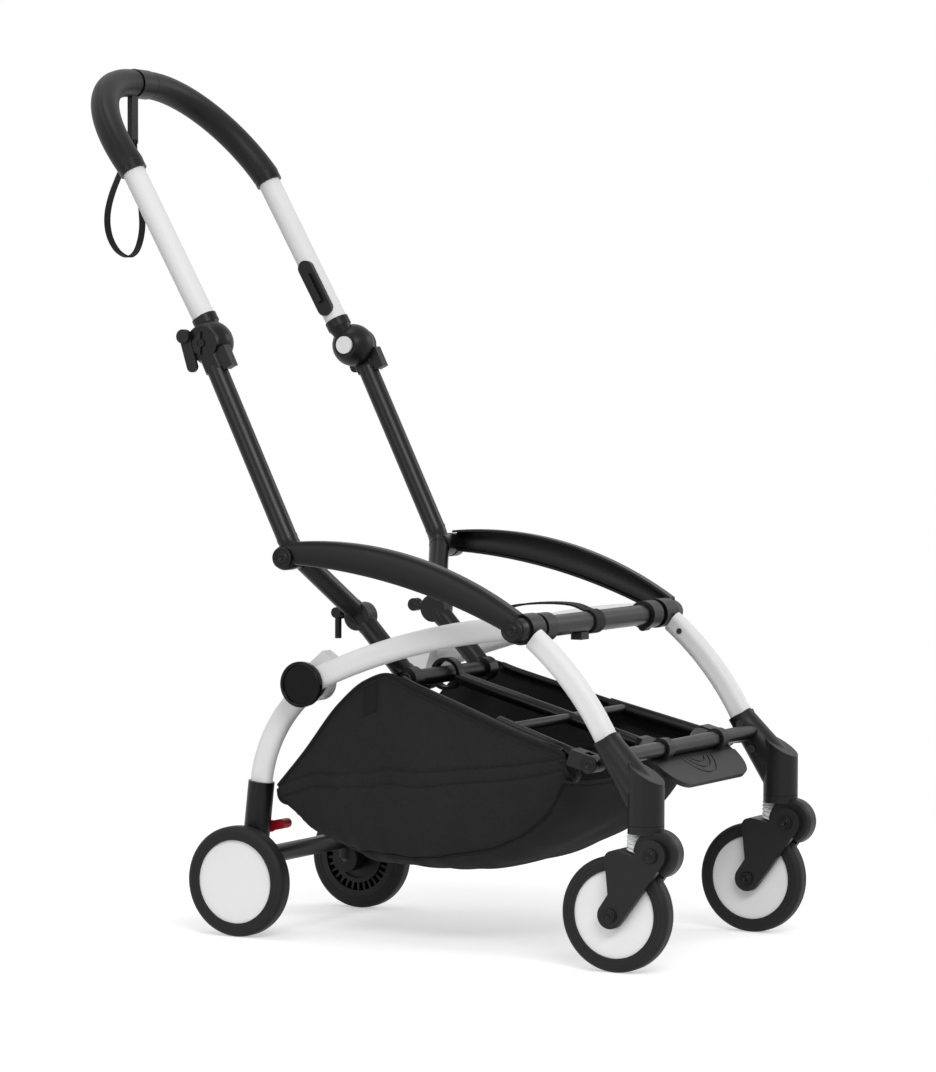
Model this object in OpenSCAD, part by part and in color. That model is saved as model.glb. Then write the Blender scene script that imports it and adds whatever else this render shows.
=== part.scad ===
// Folding stroller frame that carries an infant seat: white curved legs and rails, black push bar,
// castors with sprung arms, and a cloth basket. Millimetres, +Z up, front towards -Y, left side +X.

/* [Wheels] */
// Diameter of the front tyres
front_tyre_d = 134; // [120:1:140]
// Diameter of the rear tyres
rear_tyre_d = 134; // [120:1:140]
// Width of every tyre
tyre_w = 24; // [20:1:25]
// Diameter of the pale wheel discs
disc_d = 101; // [80:1:106]
// Distance between the middles of the front tyres
front_track = 382; // [380:1:392]
// Distance between the middles of the rear tyres
rear_track = 302; // [298:1:304]
// Front axle behind the castors' swivel axis
front_trail = 35; // [31:1:39]
// Rear axle from the layout line
rear_axle_y = 187; // [180:1:194]
// Diameter of the wheel axles
axle_d = 8; // [6:0.5:10]

/* [Fold pivots] */
// Rear hub from the layout line
hub_y = 97; // [92:1:102]
// Rear hub above the ground
hub_z = 309; // [304:1:314]
// Front pivot and crossbar from the layout line
cross_y = -217; // [-222:1:-212]
// Front pivot and crossbar above the ground
cross_z = 387; // [382:1:392]
// Armrest rear pivot from the layout line
arm_y = 87; // [84:1:90]
// Armrest rear pivot above the ground
arm_z = 463; // [459:1:467]
// Low axle of the push bar from the layout line
low_y = -17; // [-22:1:-12]
// Low axle of the push bar above the ground
low_z = 316; // [312:1:320]
// Strut pivot on the fork castings from the layout line
clevis_y = -303; // [-306:1:-300]
// Strut pivot on the fork castings above the ground
clevis_z = 235; // [231:1:239]

/* [Push bar] */
// Fold joint of the push bar from the layout line
ball_y = 213; // [205:1:220]
// Fold joint of the push bar above the ground
ball_z = 716; // [690:1:740]
// Middle of the fold joint from the centre plane
ball_x = 173; // [171:1:175]
// Diameter of the fold joint's ball
ball_d = 54; // [50:1:58]
// Upper tubes from the centre plane
upper_x = 161; // [158:1:163]
// Fold joint to the grip collars
upper_len = 239; // [200:1:280]
// Rise of the grip above its collars
grip_rise = 142; // [136:1:180]
// Bend radius of the grip's corners
grip_bend = 141; // [100:1:141]
// Lean of the upper bar from upright, in degrees
bar_lean = 29.5; // [25:0.5:34]
// Lean of the grip from upright, in degrees
grip_lean = 39; // [34:0.5:44]
// Diameter of the padded grip
grip_d = 35; // [31:1:36]
// Diameter of the lower tubes
tube_d = 25; // [22:0.5:26]
// Diameter of the upper tubes
upper_d = 28; // [24:0.5:28]
// Lower tubes from the centre plane
lower_x = 185; // [184:1:185]
// Lean of the lower tubes from upright, in degrees
lower_lean = 26; // [24:0.5:28]
// Height where the lower tubes turn inwards
knee_z = 472; // [470:1:476]
// Lower tubes from the centre plane at their foot
foot_x = 96; // [94:1:98]
// Second turn of the lower tubes from the layout line
turn_y = 50; // [46:1:54]
// Second turn of the lower tubes above the ground
turn_z = 389; // [386:1:393]
// Bend radius of the lower tubes
tube_bend = 34; // [28:1:40]
// Diameter of the pale release buttons
button_d = 22; // [16:0.5:24]
// Travel of the release buttons
button_travel = 3; // [2:0.5:4]

/* [Rails and legs] */
// Seat rails from the centre plane
rail_x = 143; // [142:1:144]
// Height of the rail and leg section
oval_h = 28; // [24:1:30]
// Width of the rail and leg section
oval_w = 19; // [16:0.5:19]
// Radius that the seat rails curve to
rail_r = 818; // [600:10:1200]
// Front legs from the centre plane
leg_x = 188; // [187:1:188]
// Radius that the front legs curve to
leg_r = 361; // [300:1:450]
// Length of a front leg's chord
leg_len = 146; // [138:1:150]
// Slope of a front leg's chord, in degrees below level
leg_slope = 50.3; // [48:0.5:52]
// Rear legs from the centre plane
rear_leg_x = 120; // [119:1:121]
// Radius that the rear legs curve to
rear_leg_r = 170; // [140:1:220]
// Top of the rear leg sleeves above the ground
sleeve_z = 186; // [180:1:192]
// Top of the rear leg sleeves from the layout line
sleeve_y = 174; // [170:1:178]
// Diameter of the rear leg sleeves
sleeve_d = 32; // [30:1:34]
// Diameter of the rear axle bar
axle_bar_d = 22; // [18:1:24]
// Rear axle bar above the ground
axle_bar_z = 92; // [90:1:98]
// Diameter of the hub discs
hub_d = 55; // [50:1:58]
// Diameter of the crossbar
cross_d = 25; // [22:0.5:26]
// Thickness of the armrests
arm_w = 19; // [16:0.5:22]
// Radius of the armrests' top edge
arm_top_r = 478; // [440:1:520]
// Radius of the armrests' lower edge
arm_low_r = 764; // [700:1:900]
// Height of the armrests at mid span
arm_h = 37; // [34:1:40]
// Wall of the hollow armrests
arm_wall = 3; // [2:0.5:5]

/* [Castors] */
// Swivel axis from the layout line
swivel_y = -375; // [-377:1:-373]
// Diameter of the castor housings
housing_d = 42; // [40:1:44]
// Lower end of the castor housings above the ground
housing_z = 170; // [169:1:174]
// Height of the castor housings
housing_h = 72; // [66:1:78]
// Diameter of the swivel pins
swivel_d = 12; // [8:1:16]
// Suspension pivot ahead of the swivel axis
knuckle_lead = 16; // [14:1:18]
// Suspension pivot above the ground
knuckle_z = 138; // [137:1:139]
// Radius of the rounded knuckle
knuckle_r = 28; // [26:1:29]
// Thickness of each suspension arm cheek
cheek_w = 8; // [6:0.5:8]

/* [Struts and footrest] */
// Diameter of the struts
strut_d = 16; // [12:1:16]
// Side struts from the centre plane at their front pivot
strut_front_x = 178; // [177:1:179]
// Side struts from the centre plane at their rear end
strut_rear_x = 118; // [117:1:119]
// Footrest bar from the layout line
rest_y = -342; // [-344:1:-340]
// Footrest bar above the ground
rest_z = 246; // [242:1:250]
// Diameter of the footrest bar
rest_d = 18; // [16:1:22]
// Width of the footrest plate
plate_w = 220; // [180:2:240]
// Depth of the footrest plate
plate_l = 54; // [44:1:58]
// Thickness of the footrest plate
plate_t = 6; // [4:0.5:8]

/* [Basket] */
// Thickness of the basket cloth
cloth_t = 3; // [2:0.5:4]
// Top of the basket's side above the ground
basket_top = 323; // [318:1:326]
// Lowest point of the basket above the ground
basket_low = 89; // [84:1:110]

/* [Hidden] */
$fn = 64;
arc_fn = 360;
section_fn = 48;

// Colours of the finishes
black = [0.09, 0.09, 0.10];
charcoal = [0.16, 0.16, 0.17];
white = [0.90, 0.90, 0.90];
steel = [0.62, 0.63, 0.65];
red = [0.62, 0.06, 0.08];

// Fits: pieces of one body, faces of two bodies, a pin that turns, and the overrun of cuts
seat = 0.05;
gap = 0.5;
run = 0.05;
over = 1;

// Pivots of the side view as [y, z]
hub = [hub_y, hub_z];
fore = [cross_y, cross_z];
arm = [arm_y, arm_z];
low = [low_y, low_z];
clevis = [clevis_y, clevis_z];
knuckle_y = swivel_y - knuckle_lead;
front_axle_y = swivel_y + front_trail;
knuckle = [knuckle_y, knuckle_z];
front_axle = [front_axle_y, front_tyre_d / 2];
rear_axle = [rear_axle_y, rear_tyre_d / 2];
sleeve_top = [sleeve_y, sleeve_z];
rest = [rest_y, rest_z];
ball = [ball_y, ball_z];
front_x = front_track / 2;
rear_x = rear_track / 2;

// Small sizes of the rear hub and its pins
hub_pin_d = 10;
pin_head_d = 18;
pin_head_t = 4;
barrel_in = rear_leg_x + oval_w / 2 + gap;
barrel_d = 38;
barrel_proud = 1.5;
barrel_out = rail_x + oval_w / 2 + barrel_proud;
cap_t = 6;
cap_rim = 3;
cap_dish = 1.5;
eye_d = 44;
lever_arm = 40;
lever_top_w = 22;
lever_lean = 34;

// Small sizes of the crossbar and front pivots
spindle_d = 12;
collar_d = 34;
collar_w = 26;
bump_d = 12;
arm_eye_d = 30;
arm_in = lower_x + tube_d / 2 + gap;
arm_out = arm_in + arm_w;
bracket_d = 36;
bracket_set = 9;
bracket_in = rail_x + collar_w / 2 + bracket_set;
bracket_out = arm_in - gap;
cap_d = 26;
cap_h = 3;
band_t = 2;
band_w = 25;
band_x = -14;
band_l = 116;
band_h = 16;
band_back = 65;
band_up = 11;
band_tilt = 5;
fold_button_l = 20;
fold_button_w = 14;
fold_button_h = 9;
fold_button_x = -42;
fold_button_sink = 5;
fold_stem_d = 6;
fold_stem_l = 5;
fold_travel = 3;

// Front leg ends, from the crossbar outwards
leg_start = 17;
leg_top_turn = 13;
leg_top = fore + leg_start * [-cos(leg_slope - leg_top_turn), -sin(leg_slope - leg_top_turn)];
leg_end = leg_top + leg_len * [-cos(leg_slope), -sin(leg_slope)];

// Fork casting
socket_wall = 2.5;
socket_d = oval_h + 2 * socket_wall;
socket_foot_d = 22;
socket_over = 1;
socket_len = 88;
throat_share = 0.5;
throat_slim = 4;
housing_front = 47;
housing_slope = 32;
lug_d = 20;
lug_w = 12;
clevis_bolt_d = 7;
screw_d = 9;
screw_t = 2;
screw_deep = 5;
plug_d = 7;
plug_at = 18;

// Castor head, arms and spring
head_h = 9;
head_gap = 0.6;
pin_share = 0.7;
bore_share = 0.8;
knuckle_w = 27;
nose_share = 1.03;
pivot_d = 8;
arm_pivot_d = 35;
arm_axle_d = 31;
cheek_in = knuckle_w / 2 + gap;
bolt_head_d = 16;
bolt_head_t = 3;
fender_gap = 2.5;
fender_t = 5;
fender_a0 = 84;
fender_round = 9;
fender_ease = 0.6;
fender_a1 = 122;
spring_d = 20;
spring_a = 107;
spring_ribs = 4;
spring_groove = 1.5;
wheel_gap = 3;
spring_c = front_axle + (front_tyre_d / 2 + fender_gap + fender_t) * [cos(spring_a), sin(spring_a)];
spring_top = housing_z - head_gap - head_h;

// Wheels
tyre_round = 7;
disc_w = 18;
disc_recess = 3;
hub_boss_d = 22;
rib_count = 30;
rib_t = 3;
slot_in_d = 68;
dish_d = 58;
dish_deep = 5;
core_web = 4;
front_side_gap = (knuckle_w / 2 + gap) - tyre_w / 2;

// Rear axle, brake pedal
stub_inset = 2;
stub_in = rear_leg_x - sleeve_d / 2 + stub_inset;
axle_lug_wall = 1.5;
axle_lug_trim = 5;
axle_lug_d = sleeve_d + 2 * axle_lug_wall;
axle_lug_w = sleeve_d - axle_lug_trim;
pedal_w = 17;
pedal_l = 24;
pedal_t = 12;
pedal_pin_d = 7;
pedal_boss_d = 15;
pedal_ease = 0.4;
pedal_z = 128;
pedal_tilt = -12;

// Push bar joints
seam_len = 4;
seam_t = 0.4;
split_out = 2.5;
ball_split = ball_x + split_out;
ball_flat = 22;
ball_cut_in = ball_x - ball_flat;
drum_trim = 12;
drum_d = ball_d - drum_trim;
drum_reach = 11;
drum_out = lower_x + drum_reach;
neck_wall = 1.75;
neck_d = tube_d + 2 * neck_wall;
upper_neck_wall = 1.5;
upper_neck_d = upper_d + 2 * upper_neck_wall;
neck_len = 9;
neck_root_share = 0.5;
neck_slim = 6;
neck_step = 1;
neck_gap = 4;
low_neck_len = 5;
rivet_d = 9;
rivet_t = 2;
button_proud = 3.5;
button_hole = 8;
clip_w = 14;
clip_l = 27;
clip_t = 14;
clip_in = 2;
clip_drop = 14;
tab_w = 14;
tab_t = 4;
web_share = 0.7;
peg_d = 17;
peg_y = 22;
peg_z = 8;
tab_y = 11;
tab_z = -28;
boss_wall = 1.5;
boss_trim = 4;
boss_d = tube_d + 2 * boss_wall;
boss_w = tube_d - boss_trim;
foot_eye_wall = 2.5;
foot_eye_d = tube_d + 2 * foot_eye_wall;
foot_eye_w = tube_d - boss_trim;
low_axle_d = 20;
link_d = 34;
link_w = 22;
link_lug_d = 16;
link_lug_y = 27;
link_lug_z = 4;
link_share = 0.78;
catch_d = 13;
catch_w = 13;
catch_rod_d = 8;
catch_rod_l = 31;
catch_pin_d = 5;

// Struts
loop_gap = 5.5;
loop_wall = 4.5;
loop_d = low_axle_d + 2 * loop_gap + 2 * loop_wall;
loop_w = 14;
tie_d = 12;
tie_back = 172;
clevis_cheek = 6;
clevis_d = 20;
clevis_trim = 0.5;
clevis_half = clevis_d / 2 - clevis_trim;
clevis_reach = 28;
clevis_block = 13;
clevis_mid = 20;
clevis_sink = 9;
mid_lug_w = 14;
mid_arm_d = 12;

// Footrest
clip_ring_d = 25;
clip_ring_w = 16;
plate_back = 3;
plate_step = 1.6;
clip_ring_x = 76;
plate_tilt = 40;
plate_round = 40;
ripple_count = 4;
ripple_step = 9;
ripple_r = 14;
ripple_w = 2;
ripple_deep = 1;

// Grip, latch and strap
grip_collar_d = 34;
grip_collar_len = 10;
grip_sink = 4;
grip_block_d = 37;
grip_block_w = 30;
grip_block_slot = 4;
latch_l = 78;
latch_w = 20;
latch_at = 83;
latch_proud = 3;
latch_deep = 9;
latch_hook_l = 40;
latch_hook_w = 7;
latch_hook_t = 5;
strap_d = 5;
slider_x = -22;
slider_back = -4;
slider_w = 14;
slider_t = 7;
slider_len = 36;
slider_drop = 22;

// The push bar's plane: a length along the lean from the fold joint, as [y, z]
function lean(s) = ball + s * [sin(bar_lean), cos(bar_lean)];
grip_end = lean(upper_len);
grip_foot = lean(upper_len + grip_collar_len);
crown = grip_foot + grip_rise * [sin(grip_lean), cos(grip_lean)];
knee = [ball_y - (ball_z - knee_z) * tan(lower_lean), knee_z];
slider_foot = [slider_x, crown.x + slider_back, crown.y - grip_d / 2 - slider_drop - slider_len];

// The object's reach, so that its box is centred on the origin
front_reach = knuckle_y - knuckle_r;
rear_reach = crown.x + grip_block_d / 2;
mid_y = (front_reach + rear_reach) / 2;

// Hand-chosen route of the wrist strap's loop from the slider's foot and back
strap_hang = [
  [-3, 0, 5], [-3, 0, -4], [-8, 1, -14], [-18, 3, -30], [-29, 5, -48], [-38, 7, -66], [-45, 8, -86],
  [-46, 8, -104], [-41, 7, -120], [-31, 5, -133], [-19, 3, -140], [-6, 1, -142], [6, -1, -135],
  [14, -2, -121], [17, -3, -104], [16, -3, -86], [13, -2, -66], [9, -1, -48], [6, -1, -30], [4, 0, -14],
  [3, 0, -4], [3, 0, 5]
];
strap_n = len(strap_hang);
strap_route = [for (p = strap_hang) slider_foot + p];

// Basket stations from rear to front: place, top edge, bottom, half width at the top and at the belly.
// Places are shares of the run from the sleeves to the front, heights shares of the side's height.
basket_set = 34;
basket_lead = 31;
basket_rear = sleeve_y - basket_set;
basket_front = clevis_y + basket_lead;
basket_place_shares = [0, 0.085, 0.2, 0.282, 0.354, 0.449, 0.631, 0.825, 0.934, 0.981, 1];
basket_top_shares = [0.406, 0.547, 0.838, 0.958, 1, 0.949, 0.851, 0.747, 0.696, 0.671, 0.582];
basket_low_shares = [0.29, 0.137, 0.061, 0.012, 0.002, 0, 0.012, 0.127, 0.258, 0.389, 0.5];
basket_top_half_shares = [0.775, 0.765, 0.75, 0.74, 0.74, 0.785, 0.87, 0.965, 1.015, 1.025, 1.03];
basket_low_half_shares = [0.76, 0.785, 0.835, 0.875, 0.895, 0.915, 0.93, 0.93, 0.9, 0.88, 0.87];
basket_half = strut_front_x;
basket_across = 14;
basket_side_power = 0.36;
basket_deep_power = 0.5;

// Vectors and arcs
function unit(v) = v / norm(v);
function left(v) = [-v.y, v.x];
function arc_centre(a, b, r) = (a + b) / 2 + left(unit(b - a)) * sqrt(r * r - (b - a) * (b - a) / 4);
function angle_of(v) = atan2(v.y, v.x);
function sweep_of(a, b, c) = (angle_of(b - c) - angle_of(a - c) + 720) % 360;
function at(x, p) = [x, p.x, p.y];

// Moves the layout so that the object's box is centred
module placed() translate([0, -mid_y, 0]) children();

// A shape and its mirror image on the other side
module pair() {
  children();
  mirror([1, 0, 0]) children();
}

// A shape on the left, or mirrored to the right
module on_side(side) {
  if (side > 0) children();
  else mirror([1, 0, 0]) children();
}

// Draws a flat shape of the side view, thick from x0 to x1
module slab(x0, x1) translate([x0, 0, 0]) rotate([90, 0, 90]) linear_extrude(x1 - x0) children();

// Round bar along X at a point of the side view
module across(p, x0, x1, d) translate(at(x0, p)) rotate([0, 90, 0]) cylinder(h = x1 - x0, d = d);

// Round bar or cone between two points
module rod(a, b, d, d2 = 0) {
  v = b - a;
  translate(a)
    rotate([0, acos(v.z / norm(v)), atan2(v.y, v.x)])
      cylinder(h = norm(v), d1 = d, d2 = d2 > 0 ? d2 : d);
}

// Stadium section: h along the radius, w along X
module oval(h, w) {
  square([h - w, w], center = true);
  for (s = [-1, 1]) translate([s * (h - w) / 2, 0]) circle(d = w, $fn = section_fn);
}

// Oval bar that curves in the side view from a round to b, turning left
module arc_bar(a, b, r, x, h, w) {
  c = arc_centre(a, b, r);
  translate(at(x, c))
    rotate([90, 0, 90])
      rotate([0, 0, angle_of(a - c)])
        rotate_extrude(angle = sweep_of(a, b, c), $fn = arc_fn) translate([r, 0]) oval(h, w);
}

// One bend of a tube at corner p, between the points before and after it
module elbow(p0, p, p1, r, d) {
  u = unit(p - p0);
  v = unit(p1 - p);
  turn = acos(u * v);
  z = unit(cross(u, v));
  c = p + unit(v - u) * r / cos(turn / 2);
  x = unit(p - u * r * tan(turn / 2) - c);
  y = cross(z, x);
  multmatrix([[x.x, y.x, z.x, c.x], [x.y, y.y, z.y, c.y], [x.z, y.z, z.z, c.z]])
    rotate_extrude(angle = turn) translate([r, 0]) circle(d = d);
}

// Length that a bend takes off the straight on each side of its corner
function bend_cut(p0, p, p1, r) = r * tan(acos(unit(p - p0) * unit(p1 - p)) / 2);

// Thin sleeve over the seam between a straight and a bend
module seam(p, u, d) rod(p - u * seam_len / 2, p + u * seam_len / 2, d + 2 * seam_t);

// Tube along four points with two bends of radius r
module bent_tube(p, r, d) {
  c1 = bend_cut(p[0], p[1], p[2], r);
  c2 = bend_cut(p[1], p[2], p[3], r);
  u0 = unit(p[1] - p[0]);
  u1 = unit(p[2] - p[1]);
  u2 = unit(p[3] - p[2]);
  rod(p[0], p[1] - (c1 + seat) * u0, d);
  seam(p[1] - c1 * u0, u0, d);
  elbow(p[0], p[1], p[2], r, d);
  seam(p[1] + c1 * u1, u1, d);
  rod(p[1] + (c1 + seat) * u1, p[2] - (c2 + seat) * u1, d);
  seam(p[2] - c2 * u1, u1, d);
  elbow(p[1], p[2], p[3], r, d);
  seam(p[2] + c2 * u2, u2, d);
  rod(p[2] + (c2 + seat) * u2, p[3], d);
}

// Curved white rail on each side, from the rear hub to the crossbar
module seat_rails()
  color(white) placed() pair() difference() {
    arc_bar(hub, fore, rail_r, rail_x, oval_h, oval_w);
    across(hub, barrel_in - over, barrel_out + over, barrel_d + 2 * seat);
    across(fore, rail_x - collar_w / 2 - over, rail_x + collar_w / 2 + over, collar_d + 2 * seat);
  }

// Black barrel that ends each rail and holds the hub pin
module hub_barrels()
  color(black) placed() pair() difference() {
    across(hub, barrel_in, barrel_out, barrel_d);
    across(hub, barrel_in - over, barrel_out - cap_t, hub_pin_d + 2 * seat);
  }

// Dished cover on the outside of each hub
module hub_caps()
  color(charcoal) placed() pair() difference() {
    across(hub, barrel_out, barrel_out + cap_t, hub_d);
    across(hub, barrel_out + cap_t - cap_dish, barrel_out + cap_t + over, hub_d - 2 * cap_rim);
  }

// Steel pin that each rear leg turns on
module hub_pins()
  color(steel) placed() pair() {
    across(hub, rear_leg_x - oval_w / 2 + gap, barrel_out - cap_t, hub_pin_d);
    across(hub, rear_leg_x - oval_w / 2 + gap, rear_leg_x - oval_w / 2 + gap + pin_head_t, pin_head_d);
  }

// Front crossbar with a spindle at each end for the legs and armrests
module crossbar()
  color(black) placed() difference() {
    union() {
      across(fore, -bracket_in + gap, bracket_in - gap, cross_d);
      across(fore, -arm_out + gap, arm_out - gap, spindle_d);
    }
    translate(at(fold_button_x, fore - [0, cross_d / 2]))
      cylinder(h = fold_button_sink + fold_travel + fold_stem_l, d = fold_stem_d + 2 * run);
    translate(at(fold_button_x, fore - [0, cross_d / 2]))
      translate([-fold_button_l / 2 - gap, -fold_button_w / 2 - gap, -over])
        cube([fold_button_l + 2 * gap, fold_button_w + 2 * gap, fold_button_sink + over]);
  }

// Collar where each rail meets the crossbar
module crossbar_collars()
  color(charcoal) placed() pair() difference() {
    union() {
      across(fore, rail_x - collar_w / 2, rail_x + collar_w / 2, collar_d);
      across(fore - [0, collar_d / 2 - bump_d / 4], rail_x - collar_w / 2, rail_x, bump_d);
    }
    across(fore, rail_x - collar_w / 2 - over, rail_x + collar_w / 2 + over, cross_d + 2 * seat);
  }

// Pull strap: a webbing loop wrapped round the crossbar and lying back towards the hub
module band_loop_form(grow)
  translate(at(band_x - band_w / 2 - grow, fore + [band_back, band_up])) rotate([-band_tilt, 0, 0])
    rotate([90, 0, 90]) linear_extrude(band_w + 2 * grow) oval(band_l - 2 * grow, band_h - 2 * grow);
module pull_strap()
  color(black) placed() difference() {
    union() {
      across(fore, band_x - band_w / 2, band_x + band_w / 2, cross_d + 2 * band_t);
      difference() {
        band_loop_form(0);
        band_loop_form(band_t);
      }
    }
    across(fore, band_x - band_w / 2 - over, band_x + band_w / 2 + over, cross_d + 2 * seat);
  }

// Fold release in the underside of the crossbar
module fold_button()
  color(charcoal) placed()
  translate(at(fold_button_x, fore - [0, cross_d / 2 - fold_button_sink + fold_travel + gap])) {
    cylinder(h = fold_travel + fold_stem_l, d = fold_stem_d);
    translate([-fold_button_l / 2, -fold_button_w / 2, -fold_button_h])
      cube([fold_button_l, fold_button_w, fold_button_h]);
  }

// Basket section at a station: a half turn from the left edge, under, to the right edge
function basket_point(i, j, inset) =
  let (
    t = 180 * j / basket_across,
    side = cos(t),
    deep = sin(t),
    top = basket_low + (basket_top - basket_low) * basket_top_shares[i],
    floor_z = basket_low + (basket_top - basket_low) * basket_low_shares[i] + inset,
    half = basket_half * (basket_top_half_shares[i] * (1 - deep) + basket_low_half_shares[i] * deep) - inset,
    flat = sign(side) * pow(abs(side), basket_side_power)
  )
  [half * flat, basket_rear + (basket_front - basket_rear) * basket_place_shares[i],
    top - (top - floor_z) * pow(deep, basket_deep_power)];
basket_n = len(basket_place_shares);
basket_m = basket_across + 1;
basket_points = concat(
  [for (i = [0 : basket_n - 1]) for (j = [0 : basket_across]) basket_point(i, j, 0)],
  [for (i = [0 : basket_n - 1]) for (j = [0 : basket_across]) basket_point(i, j, cloth_t)]
);
basket_inner = basket_n * basket_m;
function basket_quad(a, b, c, d) = [[a, b, c], [a, c, d]];
basket_faces = concat(
  [for (i = [0 : basket_n - 2]) for (j = [0 : basket_across - 1])
    each basket_quad(i * basket_m + j, i * basket_m + j + 1, (i + 1) * basket_m + j + 1, (i + 1) * basket_m + j)],
  [for (i = [0 : basket_n - 2]) for (j = [0 : basket_across - 1])
    each basket_quad(basket_inner + (i + 1) * basket_m + j, basket_inner + (i + 1) * basket_m + j + 1,
      basket_inner + i * basket_m + j + 1, basket_inner + i * basket_m + j)],
  [for (j = [0 : basket_across - 1])
    each basket_quad(basket_inner + j, basket_inner + j + 1, j + 1, j)],
  [for (j = [0 : basket_across - 1]) let (k = (basket_n - 1) * basket_m + j)
    each basket_quad(k, k + 1, basket_inner + k + 1, basket_inner + k)],
  [for (i = [0 : basket_n - 2]) let (k = i * basket_m)
    each basket_quad(k, k + basket_m, basket_inner + k + basket_m, basket_inner + k)],
  [for (i = [0 : basket_n - 2]) let (k = i * basket_m + basket_across)
    each basket_quad(basket_inner + k, basket_inner + k + basket_m, k + basket_m, k)]
);

// Cloth basket hung between the struts and the rear legs
module basket()
  color(black) placed() polyhedron(points = basket_points, faces = basket_faces, convexity = 4);

// White rear leg with its lever end above the hub
module rear_legs() {
  tip = hub + lever_arm * [-sin(lever_lean), cos(lever_lean)];
  color(white) placed() pair() difference() {
    union() {
      arc_bar(sleeve_top, hub, rear_leg_r, rear_leg_x, oval_h, oval_w);
      across(hub, rear_leg_x - oval_w / 2, rear_leg_x + oval_w / 2, eye_d);
      slab(rear_leg_x - oval_w / 2, rear_leg_x + oval_w / 2)
        polygon([
          hub + eye_d / 2 * [cos(lever_lean), sin(lever_lean)],
          tip + lever_top_w / 2 * [cos(lever_lean), sin(lever_lean)],
          tip - lever_top_w / 2 * [cos(lever_lean), sin(lever_lean)],
          hub - eye_d / 2 * [cos(lever_lean), sin(lever_lean)]
        ]);
    }
    across(hub, rear_leg_x - oval_w, rear_leg_x + oval_w, hub_pin_d + 2 * run);
    across(hub, rear_leg_x - oval_w, rear_leg_x - oval_w / 2 + 2 * gap + pin_head_t, pin_head_d + 2 * run);
    rod(at(rear_leg_x, sleeve_top), at(rear_leg_x, rear_axle), 2 * sleeve_d);
  }
}

// Sleeve axis at a height of the side view
function sleeve_at(z) = sleeve_top + (rear_axle - sleeve_top) * (sleeve_z - z) / (sleeve_z - rear_axle.y);

// Black sleeve below each rear leg with the lugs for axle, bar and pedal
module rear_sleeves()
  color(black) placed() pair() difference() {
    union() {
      rod(at(rear_leg_x, sleeve_top), at(rear_leg_x, rear_axle), sleeve_d);
      across(rear_axle, rear_leg_x - axle_lug_w / 2, rear_leg_x + axle_lug_w / 2, axle_lug_d);
    }
    across(rear_axle, stub_in, rear_leg_x + sleeve_d, axle_d + 2 * seat);
    across(sleeve_at(axle_bar_z), rear_leg_x - sleeve_d, rear_leg_x, axle_bar_d + 2 * seat);
    across(sleeve_at(pedal_z), rear_leg_x - sleeve_d, rear_leg_x, pedal_pin_d + 2 * run);
  }

// Bar between the rear sleeves
module rear_axle_bar()
  color(black) placed() across(sleeve_at(axle_bar_z), -rear_leg_x, rear_leg_x, axle_bar_d);

// Steel stub axle of each rear wheel
module rear_axles()
  color(steel) placed() pair()
    across(rear_axle, stub_in, rear_x + tyre_w / 2 - 2 * disc_recess - 2 * gap, axle_d);

// Red brake pedal on the right sleeve
module brake_pedal() {
  p = sleeve_at(pedal_z);
  x1 = -rear_leg_x + sleeve_d / 2 + gap;
  color(red) placed() {
    across(p, -rear_leg_x, x1 + pedal_w, pedal_pin_d);
    across(p, x1, x1 + pedal_w, pedal_boss_d);
    translate(at(x1, p)) rotate([pedal_tilt, 0, 0]) translate([0, -pedal_l, -pedal_t / 2])
      cube([pedal_w, pedal_l, pedal_t]);
    translate(at(x1, p)) rotate([pedal_tilt, 0, 0]) translate([0, -pedal_l, 0]) rotate([0, 90, 0])
      cylinder(h = pedal_w, d = pedal_t - pedal_ease);
  }
}

// Tyre ring with rounded shoulders, turned about the axle
module tyre(p, x, d) {
  r_in = disc_d / 2;
  color(black) placed() translate(at(x, p)) rotate([0, 90, 0]) rotate_extrude() {
    translate([r_in, -tyre_w / 2 + tyre_round]) square([d / 2 - r_in, tyre_w - 2 * tyre_round]);
    translate([r_in, -tyre_w / 2]) square([d / 2 - r_in - tyre_round, tyre_w]);
    for (s = [-1, 1]) translate([d / 2 - tyre_round, s * (tyre_w / 2 - tyre_round)]) circle(r = tyre_round);
  }
}

// Pale disc of a front wheel, shown on both sides, with its hub boss
module front_disc(side)
  color(white) placed() on_side(side) difference() {
    union() {
      across(front_axle, front_x - disc_w / 2, front_x + disc_w / 2, disc_d - 2 * seat);
      across(front_axle, front_x - tyre_w / 2, front_x + tyre_w / 2, hub_boss_d);
    }
    across(front_axle, front_x - tyre_w, front_x + tyre_w, axle_d + 2 * run);
  }

// Pale cover on the outside of a rear wheel
module rear_disc(side) {
  x1 = rear_x + tyre_w / 2 - disc_recess;
  color(white) placed() on_side(side) across(rear_axle, x1 - disc_recess, x1, disc_d - 2 * seat);
}

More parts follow.
